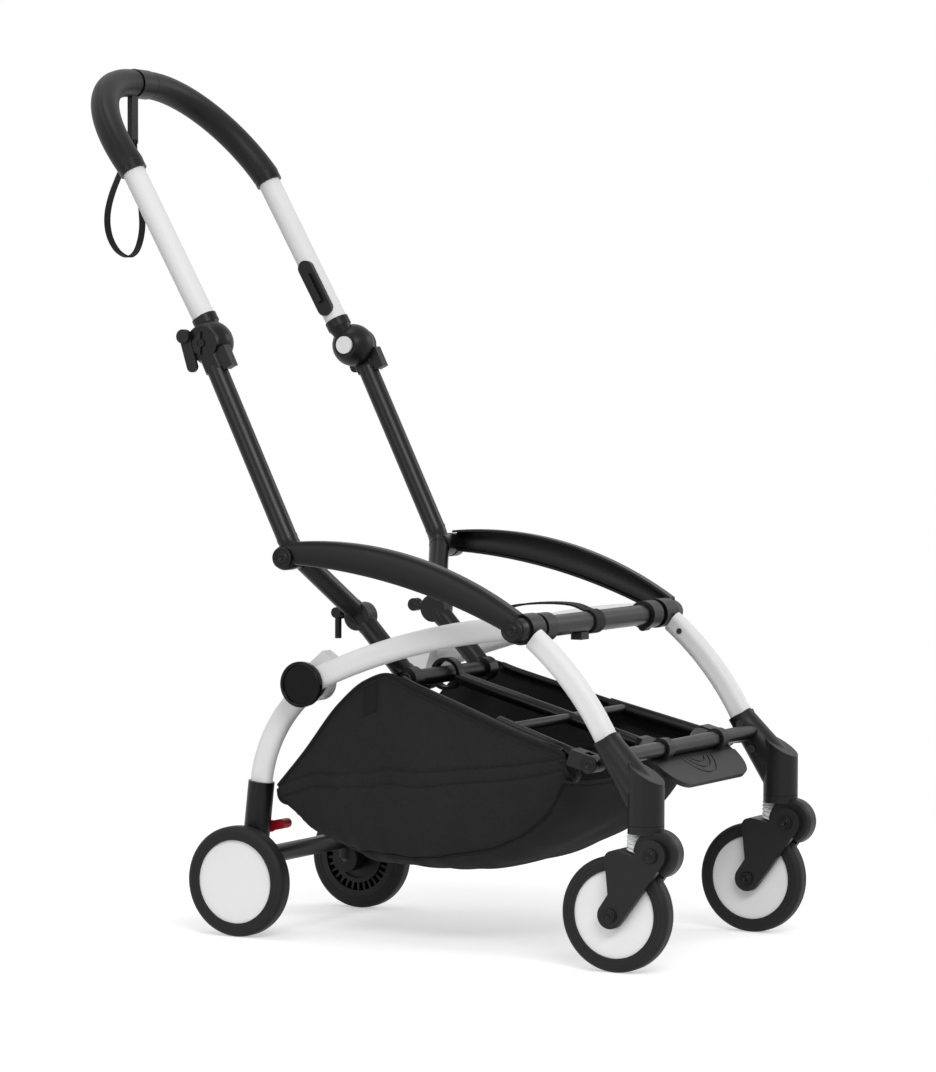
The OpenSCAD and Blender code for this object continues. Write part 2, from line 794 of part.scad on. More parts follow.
// Black ribbed core of a rear wheel, open towards the inside
module rear_core(side) {
  x0 = rear_x - tyre_w / 2;
  x1 = rear_x + tyre_w / 2 - 2 * disc_recess;
  color(charcoal) placed() on_side(side) difference() {
    union() {
      difference() {
        across(rear_axle, x0, x1, disc_d - 2 * seat);
        difference() {
          across(rear_axle, x0 - over, x1 - core_web, disc_d - 4 * rib_t);
          across(rear_axle, x0 - 2 * over, x1, slot_in_d);
        }
        difference() {
          across(rear_axle, x0 - over, x0 + dish_deep, dish_d);
          across(rear_axle, x0 - 2 * over, x1, hub_boss_d);
        }
      }
      for (i = [0 : rib_count - 1])
        translate(at(x0 + rib_t, rear_axle)) rotate([360 * i / rib_count, 0, 0])
          translate([0, -rib_t / 2, slot_in_d / 2 - rib_t])
            cube([x1 - x0 - rib_t - core_web / 2, rib_t, disc_d / 2 - slot_in_d / 2]);
    }
    across(rear_axle, x0 - over, x1 - gap, axle_d + 2 * run);
  }
}

// White curved front legs
module front_legs()
  color(white) placed() pair() arc_bar(leg_top, leg_end, leg_r, leg_x, oval_h, oval_w);

// Black bracket that carries each front leg on the crossbar's spindle
module leg_brackets()
  color(black) placed() pair() difference() {
    across(fore, bracket_in, bracket_out, bracket_d);
    arc_bar(leg_top, leg_end, leg_r, leg_x, oval_h + 2 * seat, oval_w + 2 * seat);
    across(fore, bracket_in - over, bracket_out + over, spindle_d + 2 * run);
  }

// Socket and housing of a fork casting, grown for the cuts in its neighbours
leg_c = arc_centre(leg_top, leg_end, leg_r);
leg_out = left(unit(leg_end - leg_c));
module casting_form(grow) {
  rod(at(leg_x, leg_end - socket_over * leg_out), at(leg_x, leg_end + socket_len * leg_out),
    socket_d + 2 * grow, socket_foot_d + 2 * grow);
  rod(at(leg_x, leg_end), at(front_x, [swivel_y, housing_z + housing_h * throat_share]),
    socket_d - throat_slim + 2 * grow, housing_d - throat_slim + 2 * grow);
  difference() {
    translate([front_x, swivel_y, housing_z]) cylinder(h = housing_h, d = housing_d + 2 * grow);
    translate([front_x, swivel_y - housing_d / 2, housing_z + housing_front]) rotate([housing_slope, 0, 0])
      translate([-housing_d, -housing_d, grow]) cube([2 * housing_d, 4 * housing_d, 2 * housing_h]);
  }
}

// Places of the screws in the castings, on the side towards the seat
screw_in = leg_x - socket_d / 2;
screw_places = [leg_end + leg_out * socket_len / 8, leg_end + leg_out * socket_len / 2];

// Black casting below each front leg: leg socket, castor housing and strut lug
module fork_castings()
  color(charcoal) placed() pair() difference() {
    union() {
      casting_form(0);
      across(clevis, strut_front_x - lug_w / 2, strut_front_x + lug_w / 2, lug_d);
      rod(at(strut_front_x, clevis), at(strut_front_x, leg_end + leg_out * socket_len / 3), lug_w - 2 * seat);
    }
    arc_bar(leg_top, leg_end, leg_r, leg_x, oval_h + 2 * seat, oval_w + 2 * seat);
    translate([front_x, swivel_y, housing_z - over])
      cylinder(h = housing_front * bore_share + over, d = swivel_d + 2 * run);
    translate([front_x, swivel_y, housing_z - housing_h]) cylinder(h = housing_h, d = 2 * housing_d);
    across(clevis, strut_front_x - lug_w, strut_front_x + lug_w, clevis_bolt_d + 2 * run);
    for (p = screw_places) across(p, screw_in - screw_t, screw_in + screw_deep, screw_d + 2 * seat);
  }

// Bar between the fork castings with the arm that carries the middle strut
module footrest_bar()
  color(black) placed() difference() {
    union() {
      across(rest, -leg_x, leg_x, rest_d);
      rod(at(0, rest), at(0, clevis), mid_arm_d);
      across(clevis, -mid_lug_w / 2, mid_lug_w / 2, lug_d);
    }
    pair() casting_form(seat);
    pair() rod(at(strut_front_x, clevis), at(strut_front_x, leg_end + leg_out * socket_len / 3), lug_w);
    across(clevis, -mid_lug_w, mid_lug_w, clevis_bolt_d + 2 * run);
  }

// Rippled footrest plate clipped under the bar
module footrest_plate() {
  round_r = plate_round;
  color(charcoal) placed() difference() {
    union() {
      translate(at(0, rest)) rotate([plate_tilt, 0, 0]) translate([0, 0, -clip_ring_d / 2]) difference() {
        union() {
          translate([-plate_w / 2, -plate_l + round_r, 0]) cube([plate_w, plate_l - round_r, plate_t]);
          translate([-plate_w / 2 + round_r, -plate_l, 0]) cube([plate_w - 2 * round_r, plate_l, plate_t]);
          for (s = [-1, 1]) translate([s * (plate_w / 2 - round_r), -plate_l + round_r, 0])
            cylinder(h = plate_t, r = round_r);
        }
        translate([-plate_w, -clip_ring_d / 2 - plate_back, plate_t - plate_step])
          cube([2 * plate_w, clip_ring_d + plate_back, plate_t]);
        for (i = [0 : ripple_count - 1]) translate([0, 0, plate_t - ripple_deep]) difference() {
          cylinder(h = ripple_deep + over, r = ripple_r + i * ripple_step + ripple_w);
          cylinder(h = ripple_deep + over, r = ripple_r + i * ripple_step);
        }
      }
      for (s = [-1, 1]) across(rest, s * clip_ring_x - clip_ring_w / 2, s * clip_ring_x + clip_ring_w / 2,
        clip_ring_d);
    }
    across(rest, -plate_w, plate_w, rest_d + 2 * seat);
  }
}

// Bolts of the strut pivots and screws of the castings
module frame_screws()
  color(steel) placed() {
    pair() {
      across(clevis, strut_front_x - lug_w / 2 - gap - clevis_cheek, strut_front_x + lug_w / 2 + gap + clevis_cheek,
        clevis_bolt_d);
      across(clevis, strut_front_x + lug_w / 2 + gap + clevis_cheek + gap,
        strut_front_x + lug_w / 2 + gap + clevis_cheek + gap + screw_t, lug_d - clevis_bolt_d);
    }
    across(clevis, -mid_lug_w / 2 - gap - clevis_cheek, mid_lug_w / 2 + gap + clevis_cheek, clevis_bolt_d);
    pair() for (p = screw_places) across(p, screw_in - screw_t / 2, screw_in + screw_deep, screw_d);
    pair() across(leg_c + leg_r * unit(leg_top + plug_at * unit(leg_end - leg_top) - leg_c),
      leg_x - oval_w / 2 - screw_t / 2, leg_x - oval_w / 2, plug_d);
  }

// Castor head: round base under the housing and the rounded knuckle in front of the wheel
module castor_head(side)
  color(charcoal) placed() on_side(side) difference() {
    union() {
      translate([front_x, swivel_y, housing_z - head_gap - head_h]) cylinder(h = head_h, d = housing_d);
      intersection() {
        across(knuckle, front_x - knuckle_w / 2, front_x + knuckle_w / 2, 2 * knuckle_r);
        translate(at(front_x, knuckle)) rotate([0, 90, 0]) sphere(r = knuckle_r * nose_share);
        translate([front_x - housing_d, knuckle_y - 2 * knuckle_r, 0])
          cube([2 * housing_d, 4 * knuckle_r, housing_z - head_gap]);
      }
    }
    across(front_axle, front_x - housing_d, front_x + housing_d,
      front_tyre_d + 2 * fender_gap + 2 * fender_t + 2 * wheel_gap);
    across(knuckle, front_x - housing_d, front_x + housing_d, pivot_d + 2 * run);
    translate([front_x, swivel_y, housing_z - housing_h]) cylinder(h = 2 * housing_h, d = swivel_d + 2 * seat);
    translate([front_x, spring_c.x, spring_c.y - spring_d])
      cylinder(h = spring_top - spring_c.y + spring_d, d = spring_d + 2 * gap);
  }

// Steel pin that the castor swivels on
module swivel_pin(side)
  color(steel) placed() on_side(side)
    translate([front_x, swivel_y, housing_z - head_gap - head_h / 2])
      cylinder(h = housing_front * pin_share, d = swivel_d);

// Ribbed white spring between the castor head and the suspension arm
module elastomer(side) {
  c = spring_c;
  top = spring_top;
  step = (top - c.y) / spring_ribs;
  color(white) placed() on_side(side) difference() {
    translate([front_x, c.x, c.y - spring_d / 2]) cylinder(h = top - c.y + spring_d / 2, d = spring_d);
    across(front_axle, front_x - spring_d, front_x + spring_d, front_tyre_d + 2 * (fender_gap + fender_t + gap));
    for (i = [0 : spring_ribs - 1]) translate([front_x, c.x, c.y + step * (i + 0.5)]) difference() {
      cylinder(h = step / 3, d = spring_d + over);
      cylinder(h = step / 3, d = spring_d - 2 * spring_groove);
    }
  }
}

// Suspension arm: two cheeks beside the wheel joined over it by a short fender
module arm_fork(side) {
  d = unit(front_axle - knuckle);
  n = left(d);
  r0 = front_tyre_d / 2 + fender_gap;
  r1 = r0 + fender_t;
  corner_r = r1 - fender_round - fender_ease;
  corner_a = fender_a0 + asin(fender_round / corner_r);
  corner = front_axle + corner_r * [cos(corner_a), sin(corner_a)];
  corner_n = left(unit(corner - front_axle));
  color(charcoal) placed() on_side(side) difference() {
    union() {
      for (s = [-1, 1]) {
        x0 = front_x + s * (cheek_in + cheek_w / 2) - cheek_w / 2;
        across(knuckle, x0, x0 + cheek_w, arm_pivot_d);
        across(front_axle, x0, x0 + cheek_w, arm_axle_d);
        slab(x0, x0 + cheek_w) polygon([
          knuckle + n * arm_pivot_d / 2, knuckle - n * arm_pivot_d / 2,
          front_axle - n * arm_axle_d / 2, front_axle + n * arm_axle_d / 2
        ]);
        intersection() {
          across(front_axle, x0, x0 + cheek_w, 2 * r1);
          slab(x0, x0 + cheek_w) polygon([
            front_axle,
            front_axle + 2 * r1 * [cos(fender_a1), sin(fender_a1)],
            front_axle + 2 * r1 * [cos(corner_a), sin(corner_a)]
          ]);
        }
        across(corner, x0, x0 + cheek_w, 2 * fender_round);
        slab(x0, x0 + cheek_w)
          polygon([front_axle, corner - corner_n * fender_round, corner + corner_n * fender_round]);
      }
      difference() {
        intersection() {
          across(front_axle, front_x - cheek_in - over, front_x + cheek_in + over, 2 * r1);
          slab(front_x - cheek_in - over, front_x + cheek_in + over) polygon([
            front_axle,
            front_axle + 2 * r1 * [cos(fender_a1), sin(fender_a1)],
            front_axle + 2 * r1 * [cos(corner_a), sin(corner_a)]
          ]);
        }
        across(front_axle, front_x - tyre_w, front_x + tyre_w, 2 * r0);
      }
    }
    across(knuckle, front_x - housing_d, front_x + housing_d, pivot_d + 2 * seat);
    across(front_axle, front_x - housing_d, front_x + housing_d, axle_d + 2 * seat);
  }
}

// Pivot bolt and axle bolt of a suspension arm
module arm_bolts(side) {
  x1 = cheek_in + cheek_w;
  color(steel) placed() on_side(side) for (p = [knuckle, front_axle]) {
    across(p, front_x - x1, front_x + x1, p == knuckle ? pivot_d : axle_d);
    for (s = [-1, 1]) across(p, front_x + s * (x1 + bolt_head_t / 2) - bolt_head_t / 2,
      front_x + s * (x1 + bolt_head_t / 2) + bolt_head_t / 2, bolt_head_d);
  }
}

// Region of the side view between two circles, for the armrest
arm_mid = (arm + fore) / 2;
arm_up = left(unit(fore - arm)) * -1;
arm_rise = 27;
arm_slot = 9;
arm_slot_drop = 13.5;
arm_slot_deep = 2;
arm_top_c = arm_mid + arm_up * (arm_rise + arm_h / 2 - arm_top_r);
arm_low_c = arm_mid + arm_up * (arm_rise - arm_h / 2 - arm_low_r);
module arm_blade(x0, x1, inset) {
  intersection() {
    difference() {
      across(arm_top_c, x0, x1, 2 * (arm_top_r - inset));
      across(arm_low_c, x0 - over, x1 + over, 2 * (arm_low_r + inset));
    }
    slab(x0, x1) polygon([
      arm - arm_up * arm_h, arm + arm_up * 2 * arm_h, fore + arm_up * 2 * arm_h, fore - arm_up * arm_h
    ]);
  }
}

// Curved armrests, hollow towards the seat, with an eye at each end and a small slot in the outer face
module armrests()
  color(charcoal) placed() pair() difference() {
    union() {
      difference() {
        arm_blade(arm_in, arm_out, 0);
        difference() {
          arm_blade(arm_in - over, arm_out - arm_wall, arm_wall);
          for (p = [arm, fore]) across(p, arm_in - 2 * over, arm_out, arm_eye_d + 2 * arm_wall);
        }
      }
      for (p = [arm, fore]) across(p, arm_in, arm_out, arm_eye_d);
    }
    for (p = [arm, fore]) across(p, arm_in - over, arm_out + over, spindle_d + 2 * run);
    translate(at(arm_out - arm_slot_deep, arm_mid + arm_up * (arm_rise + arm_h / 2 - arm_slot_drop)))
      rotate([angle_of(arm - fore), 0, 0]) translate([0, -arm_slot / 2, -arm_slot / 2])
        cube([arm_slot_deep + over, arm_slot, arm_slot]);
  }

// Round caps over the armrest pivots
module pivot_caps()
  color(black) placed() pair() for (p = [arm, fore]) across(p, arm_out, arm_out + cap_h, cap_d);

// Lower push bar tubes: straight from the fold joint, in at the knee, forward to the low axle
lower_top = ball - (ball_d / 2 + neck_gap) * unit(ball - knee);
module lower_path(d) bent_tube([at(lower_x, lower_top), at(lower_x, knee),
  [foot_x, turn_y, turn_z], at(foot_x, low)], tube_bend, d);
module lower_tubes()
  color(black) placed() pair() difference() {
    union() {
      lower_path(tube_d);
      across(arm, lower_x - boss_w / 2, lower_x + boss_w / 2, boss_d);
      across(arm, lower_x, arm_out - gap, spindle_d);
      across(low, foot_x - foot_eye_w / 2, foot_x + foot_eye_w / 2, foot_eye_d);
    }
    across(low, foot_x - foot_eye_w, foot_x + foot_eye_w, low_axle_d + 2 * seat);
  }

// Outer half of each fold joint, fixed to the lower tube
module joint_shells()
  color(black) placed() pair() difference() {
    union() {
      intersection() {
        union() {
          translate(at(ball_x, ball)) rotate([0, 90, 0]) sphere(d = ball_d);
          across(ball, ball_x, drum_out + over, drum_d);
          rod(at(lower_x, ball), at(lower_x, lower_top - low_neck_len * unit(ball - knee)), neck_d);
        }
        across(ball, ball_split + gap / 2, drum_out, 4 * ball_d);
      }
      across(ball, drum_out - over, drum_out + rivet_t, rivet_d);
    }
    rod(at(lower_x, lower_top), at(lower_x, knee), tube_d + 2 * seat);
  }

// Accessory clip in front of each fold joint, and the flat finger with its peg on the outer face
module accessory_clips() {
  peg = ball + [peg_y, peg_z];
  tip = ball + [tab_y, tab_z];
  u = unit(peg - tip);
  color(charcoal) placed() pair() {
    difference() {
      translate(at(lower_x, ball)) rotate([-lower_lean, 0, 0])
        translate([-clip_w / 2, -ball_d / 2 + clip_in, -clip_drop - clip_l]) cube([clip_w, clip_t, clip_l]);
      translate(at(ball_x, ball)) rotate([0, 90, 0]) sphere(d = ball_d + 2 * seat);
      across(ball, ball_split, drum_out + over, drum_d + 2 * seat);
      rod(at(lower_x, ball), at(lower_x, knee), neck_d + 2 * seat);
    }
    difference() {
      union() {
        across(peg, drum_out, drum_out + 2 * tab_t, peg_d);
        translate(at(drum_out, (peg + tip) / 2)) rotate([angle_of(u), 0, 0]) rotate([90, 0, 90])
          linear_extrude(tab_t) oval(norm(peg - tip) + tab_w, tab_w);
        slab(drum_out, drum_out + tab_t * web_share) polygon([
          ball + [0, tab_w], ball - [0, tab_w], tip + u * tab_w * 1.5, peg - u * tab_w
        ]);
      }
      across(ball, drum_out - over, drum_out + 2 * tab_t, rivet_d + 2 * seat);
    }
  }
}

// Cross tube through the feet of the lower tubes
module low_axle()
  color(charcoal) placed() across(low, -foot_x - foot_eye_w / 2, foot_x + foot_eye_w / 2, low_axle_d);

// Clamp at the second turn of each lower tube, with the lug of the catch
module link_brackets() {
  p = [turn_y, turn_z];
  color(charcoal) placed() pair() difference() {
    union() {
      across(p, foot_x - link_w / 2, foot_x + link_w / 2, link_d);
      across(p + [link_lug_y, link_lug_z], foot_x - link_w / 2, foot_x, link_lug_d);
      rod(at(foot_x - link_w / 4, p), at(foot_x - link_w / 4, p + link_share * [link_lug_y, link_lug_z]),
        link_w / 2);
    }
    lower_path(tube_d + 2 * seat);
    across(p + [link_lug_y, link_lug_z], foot_x - link_w, foot_x + link_w, catch_pin_d + 2 * run);
  }
}

// Fold catch lever on the right bracket: knob, pin and hanging rod
module catch_lever() {
  p = [turn_y + link_lug_y, turn_z + link_lug_z];
  x0 = foot_x + gap;
  color(black) placed() on_side(-1) {
    across(p, foot_x - link_w / 2, x0, catch_pin_d);
    across(p, x0, x0 + catch_w, catch_d);
    rod(at(x0 + catch_w / 2, p), at(x0 + catch_w / 2, p - [0, catch_rod_l]), catch_rod_d);
  }
}

// Strut line on the left: front pivot, rear end, and points along it
strut_a = at(strut_front_x, clevis);
strut_b = at(strut_rear_x, low);
strut_u = unit(strut_b - strut_a);
mid_a = at(0, clevis);
mid_b = at(0, low);
mid_u = unit(mid_b - mid_a);

// Trident of struts: a middle one back to the low axle and two short arms, joined by a tie bar
tie_at = low - tie_back * unit(low - clevis);
tie_x = strut_rear_x + (strut_front_x - strut_rear_x) * tie_back / norm(low - clevis);
module struts()
  color(black) placed() {
    pair() rod(strut_a + (clevis_reach - clevis_sink) * strut_u, strut_b - (tie_back - strut_d) * strut_u,
      strut_d);
    difference() {
      union() {
        rod(mid_a + (clevis_reach - clevis_sink) * mid_u, mid_b, strut_d);
        across(low, -loop_w / 2, loop_w / 2, loop_d);
      }
      across(low, -loop_w, loop_w, low_axle_d + 2 * loop_gap);
    }
    difference() {
      across(tie_at, -tie_x, tie_x, tie_d);
      pair() rod(strut_a, strut_b, strut_d + 2 * seat);
      rod(mid_a, mid_b, strut_d + 2 * seat);
    }
  }

// One clevis: cheeks about a lug and a socket for the strut
module clevis_form(x, w, u) {
  e = unit([u.y, u.z]);
  difference() {
    union() {
      for (s = [-1, 1]) {
        x0 = x + s * (w / 2 + gap + clevis_cheek / 2) - clevis_cheek / 2;
        across(clevis, x0, x0 + clevis_cheek, clevis_d);
        slab(x0, x0 + clevis_cheek) polygon([
          clevis + clevis_half * left(e), clevis - clevis_half * left(e),
          clevis + clevis_mid * e - clevis_half * left(e), clevis + clevis_mid * e + clevis_half * left(e)
        ]);
      }
      slab(x - w / 2 - gap - clevis_cheek, x + w / 2 + gap + clevis_cheek) polygon([
        clevis + clevis_block * e + clevis_half * left(e), clevis + clevis_block * e - clevis_half * left(e),
        clevis + clevis_reach * e - clevis_half * left(e), clevis + clevis_reach * e + clevis_half * left(e)
      ]);
    }
    across(clevis, x - 2 * w - 2 * clevis_cheek, x + 2 * w + 2 * clevis_cheek, clevis_bolt_d + 2 * seat);
    rod(at(x, clevis) + (clevis_reach - clevis_sink - seat) * u, at(x, clevis) + 2 * clevis_reach * u,
      strut_d + 2 * seat);
  }
}

// Clevises at the front ends of the struts
module strut_clevises()
  color(charcoal) placed() {
    pair() clevis_form(strut_front_x, lug_w, strut_u);
    clevis_form(0, mid_lug_w, mid_u);
  }

// White tubes between the fold joints and the grip
upper_foot = lean(ball_d / 2 + gap);
module upper_tubes()
  color(white) placed() pair() rod(at(upper_x, upper_foot), at(upper_x, grip_end), upper_d);

// Bent tube of the grip in its own frame, where Z runs up the grip's lean from its collars
module grip_form(d) translate(at(0, grip_foot)) rotate([-grip_lean, 0, 0]) {
  pair() {
    translate([upper_x, 0, -grip_sink]) cylinder(h = grip_rise - grip_bend + grip_sink, d = d);
    translate([upper_x - grip_bend, 0, grip_rise - grip_bend])
      rotate([90, 0, 0]) rotate_extrude(angle = 90) translate([grip_bend, 0]) circle(d = d);
  }
  translate([grip_bend - upper_x, 0, grip_rise])
    rotate([0, 90, 0]) cylinder(h = 2 * (upper_x - grip_bend), d = d);
}

// Padded grip bent round the top of the push bar
module grip()
  color(black) placed() difference() {
    grip_form(grip_d);
    across(crown, -grip_block_w / 2, grip_block_w / 2, 2 * grip_block_d);
    pair() rod(at(upper_x, grip_end), at(upper_x, grip_foot), 2 * grip_d);
  }

// Smooth collars where the grip meets the white tubes
module grip_collars()
  color(charcoal) placed() pair()
    rod(at(upper_x, grip_end), at(upper_x, grip_foot), grip_collar_d);

// Plastic block at the middle of the grip
module grip_block()
  color(charcoal) placed() difference() {
    across(crown, -grip_block_w / 2, grip_block_w / 2, grip_block_d);
    for (s = [-1, 0, 1]) translate(at(s * grip_block_w / 4 - grip_block_slot / 2, crown))
      translate([0, -grip_block_d / 4, grip_block_d / 2 - grip_block_slot / 2])
        cube([grip_block_slot / 2, grip_block_d / 2, grip_block_d]);
  }

// Inner half of each fold joint, fixed to the upper tube, with the hole for its button
module joint_balls()
  color(black) placed() pair() difference() {
    intersection() {
      union() {
        intersection() {
          translate(at(ball_x, ball)) rotate([0, 90, 0]) sphere(d = ball_d);
          across(ball, ball_cut_in, ball_x + ball_d, 4 * ball_d);
        }
        rod(at(upper_x, lean(ball_d / 2 * neck_root_share)), at(upper_x, lean(ball_d / 2)),
          upper_d - neck_slim, upper_neck_d - neck_step);
        rod(at(upper_x, lean(ball_d / 2 - neck_step)), at(upper_x, lean(ball_d / 2 + gap + neck_len)),
          upper_neck_d);
      }
      across(ball, 0, ball_split - gap / 2, 4 * ball_d);
    }
    rod(at(upper_x, upper_foot), at(upper_x, grip_end), upper_d + 2 * seat);
    across(ball, 0, ball_cut_in + button_hole, button_d + 2 * run);
  }

// Pale release button in the inner face of a fold joint
module release_button(side)
  color(white) placed() on_side(side)
    across(ball, ball_cut_in - button_proud, ball_cut_in + button_hole - button_travel - gap, button_d);

// Black latch insert on the inner face of the left upper tube
module latch_plate() {
  c = lean(latch_at);
  x1 = upper_x - upper_d / 2;
  color(black) placed() difference() {
    union() {
      translate(at(x1 - latch_proud, c)) rotate([-bar_lean, 0, 0]) rotate([0, 90, 0])
        linear_extrude(latch_deep) oval(latch_l, latch_w);
      translate(at(x1 - latch_proud - latch_hook_t, c)) rotate([-bar_lean, 0, 0])
        translate([0, -latch_hook_w / 2, -latch_hook_l / 2]) cube([latch_hook_t, latch_hook_w, latch_hook_l]);
    }
    rod(at(upper_x, upper_foot), at(upper_x, grip_end), upper_d + 2 * seat);
  }
}

// Buckle and slider that the wrist strap runs through, hung from the grip
module strap_slider()
  color(charcoal) placed() difference() {
    translate(slider_foot - [slider_w / 2, slider_t / 2, 0])
      cube([slider_w, slider_t, slider_len + slider_drop + grip_d / 4]);
    grip_form(grip_d + 2 * seat);
    for (p = [strap_hang[0], strap_hang[strap_n - 1]])
      translate(slider_foot + [p.x, p.y, -over]) cylinder(h = p.z + over + seat, d = strap_d + 2 * seat);
  }

// Webbing loop of the wrist strap, swept as one tube along its route
strap_sides = 8;
function strap_dir(i) = unit(strap_route[min(i + 1, strap_n - 1)] - strap_route[max(i - 1, 0)]);
function strap_ring(i) =
  let (
    t = strap_dir(i),
    a = unit(cross([0, 1, 0], t)),
    b = cross(t, a)
  )
  [for (k = [0 : strap_sides - 1])
    strap_route[i] + strap_d / 2 * (a * cos(360 * k / strap_sides) + b * sin(360 * k / strap_sides))];
strap_points = [for (i = [0 : strap_n - 1]) each strap_ring(i)];
strap_faces = concat(
  [for (i = [0 : strap_n - 2]) for (k = [0 : strap_sides - 1])
    let (p = i * strap_sides + k, q = i * strap_sides + (k + 1) % strap_sides)
    each [[p, q, q + strap_sides], [p, q + strap_sides, p + strap_sides]]],
  [[for (k = [0 : strap_sides - 1]) strap_sides - 1 - k]],
  [[for (k = [0 : strap_sides - 1]) (strap_n - 1) * strap_sides + k]]
);
module wrist_strap()
  color(black) placed() polyhedron(points = strap_points, faces = strap_faces, convexity = 4);

seat_rails();
hub_barrels();
hub_caps();
hub_pins();
crossbar();
crossbar_collars();
pull_strap();
fold_button();
basket();
rear_legs();
rear_sleeves();
rear_axle_bar();
rear_axles();
brake_pedal();
tyre(rear_axle, rear_x, rear_tyre_d);  // rear_tyre_left
rear_disc(1);  // rear_disc_left
rear_core(1);  // rear_core_left
tyre(rear_axle, -rear_x, rear_tyre_d);  // rear_tyre_right
rear_disc(-1);  // rear_disc_right
rear_core(-1);  // rear_core_right
front_legs();
leg_brackets();
fork_castings();
footrest_bar();
footrest_plate();
frame_screws();
castor_head(1);  // castor_head_left
swivel_pin(1);  // swivel_pin_left
elastomer(1);  // elastomer_left
arm_fork(1);  // arm_fork_left
arm_bolts(1);  // arm_bolts_left
tyre(front_axle, front_x, front_tyre_d);  // front_tyre_left
front_disc(1);  // front_disc_left
castor_head(-1);  // castor_head_right
swivel_pin(-1);  // swivel_pin_right
elastomer(-1);  // elastomer_right
arm_fork(-1);  // arm_fork_right
arm_bolts(-1);  // arm_bolts_right
tyre(front_axle, -front_x, front_tyre_d);  // front_tyre_right
front_disc(-1);  // front_disc_right
armrests();
pivot_caps();
lower_tubes();
joint_shells();
accessory_clips();
low_axle();
link_brackets();
catch_lever();
struts();
strut_clevises();
upper_tubes();
grip();
grip_collars();
grip_block();
joint_balls();
latch_plate();
release_button(1);  // release_button_left
release_button(-1);  // release_button_right
wrist_strap();
strap_slider();
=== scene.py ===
import math

import bpy
import numpy as np
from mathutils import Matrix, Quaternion, Vector


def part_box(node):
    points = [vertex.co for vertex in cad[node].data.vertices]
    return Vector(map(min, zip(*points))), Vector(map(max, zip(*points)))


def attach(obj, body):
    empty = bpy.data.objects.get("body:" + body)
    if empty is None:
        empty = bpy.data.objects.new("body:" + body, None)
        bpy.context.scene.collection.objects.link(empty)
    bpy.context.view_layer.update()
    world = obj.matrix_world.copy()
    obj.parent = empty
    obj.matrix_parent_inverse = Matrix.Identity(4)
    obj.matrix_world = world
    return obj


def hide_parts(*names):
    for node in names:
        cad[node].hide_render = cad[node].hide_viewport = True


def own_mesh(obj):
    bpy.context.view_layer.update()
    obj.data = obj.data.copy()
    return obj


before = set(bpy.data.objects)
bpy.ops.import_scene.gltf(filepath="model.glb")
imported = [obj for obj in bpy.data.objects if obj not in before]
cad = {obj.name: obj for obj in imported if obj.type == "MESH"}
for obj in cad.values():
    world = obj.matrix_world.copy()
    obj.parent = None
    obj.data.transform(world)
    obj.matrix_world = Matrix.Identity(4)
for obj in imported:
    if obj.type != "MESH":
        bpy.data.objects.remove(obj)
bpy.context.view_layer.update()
rearSet = 12.2385  # the layout's zero lies this many millimetres behind the middle of the box
print("frame loaded:", len(cad), "nodes")


def spot(x, y, z):  # millimetres of the layout to metres of the frame
    return Vector((x, y - rearSet, z)) / 1000


pivots = dict(arm=(87, 463), fore=(-217, 387), knuckle=(-391, 138), frontAxle=(-340, 67), rearAxle=(187, 67),
              clevis=(-303, 235), low=(-17, 316), hub=(97, 309))


# camera, as the photograph was taken
shot = dict(place=(-4.3144, -2.33804, 0.6872), aim=(0, -0.04124, 0.48364), roll=0.156, lens=135.5,
            shiftX=0.0107, sensor=36, near=0.1, far=100)


def makeCamera():
    data = bpy.data.cameras.new("photoView")
    camera = bpy.data.objects.new("photoView", data)
    bpy.context.scene.collection.objects.link(camera)
    look = Vector(shot["aim"]) - Vector(shot["place"])
    camera.location = shot["place"]
    camera.rotation_mode = "QUATERNION"
    turn = Quaternion((0, 0, 1), math.radians(shot["roll"]))
    camera.rotation_quaternion = look.to_track_quat("-Z", "Y") @ turn
    data.lens = shot["lens"]
    data.sensor_width = shot["sensor"]
    data.shift_x = shot["shiftX"]
    data.clip_start, data.clip_end = shot["near"], shot["far"]
    bpy.context.scene.camera = camera
    print("camera placed")


makeCamera()


# shader helpers

def addNode(tree, kind, values=None, **settings):
    node = tree.nodes.new(kind)
    for key, value in settings.items():
        setattr(node, key, value)
    for key, value in (values or {}).items():
        node.inputs[key].default_value = value
    return node


def newGroup(name, inputs, outputs):
    group = bpy.data.node_groups.new(name, "ShaderNodeTree")
    for label, value in inputs.items():
        socket = group.interface.new_socket(name=label, in_out="INPUT", socket_type="NodeSocketFloat")
        socket.default_value = value
    for label in outputs:
        group.interface.new_socket(name=label, in_out="OUTPUT", socket_type="NodeSocketFloat")
    return group, addNode(group, "NodeGroupInput"), addNode(group, "NodeGroupOutput")


def maths(tree, operation, a, b=None):
    node = addNode(tree, "ShaderNodeMath", operation=operation)
    for socket, value in zip(node.inputs, (a, b)):
        if isinstance(value, (int, float)):
            socket.default_value = value
        elif value is not None:
            tree.links.new(value, socket)
    return node.outputs[0]


def useGroup(tree, group, **values):
    node = addNode(tree, "ShaderNodeGroup", node_tree=group)
    for key, value in values.items():
        node.inputs[key].default_value = value
    return node


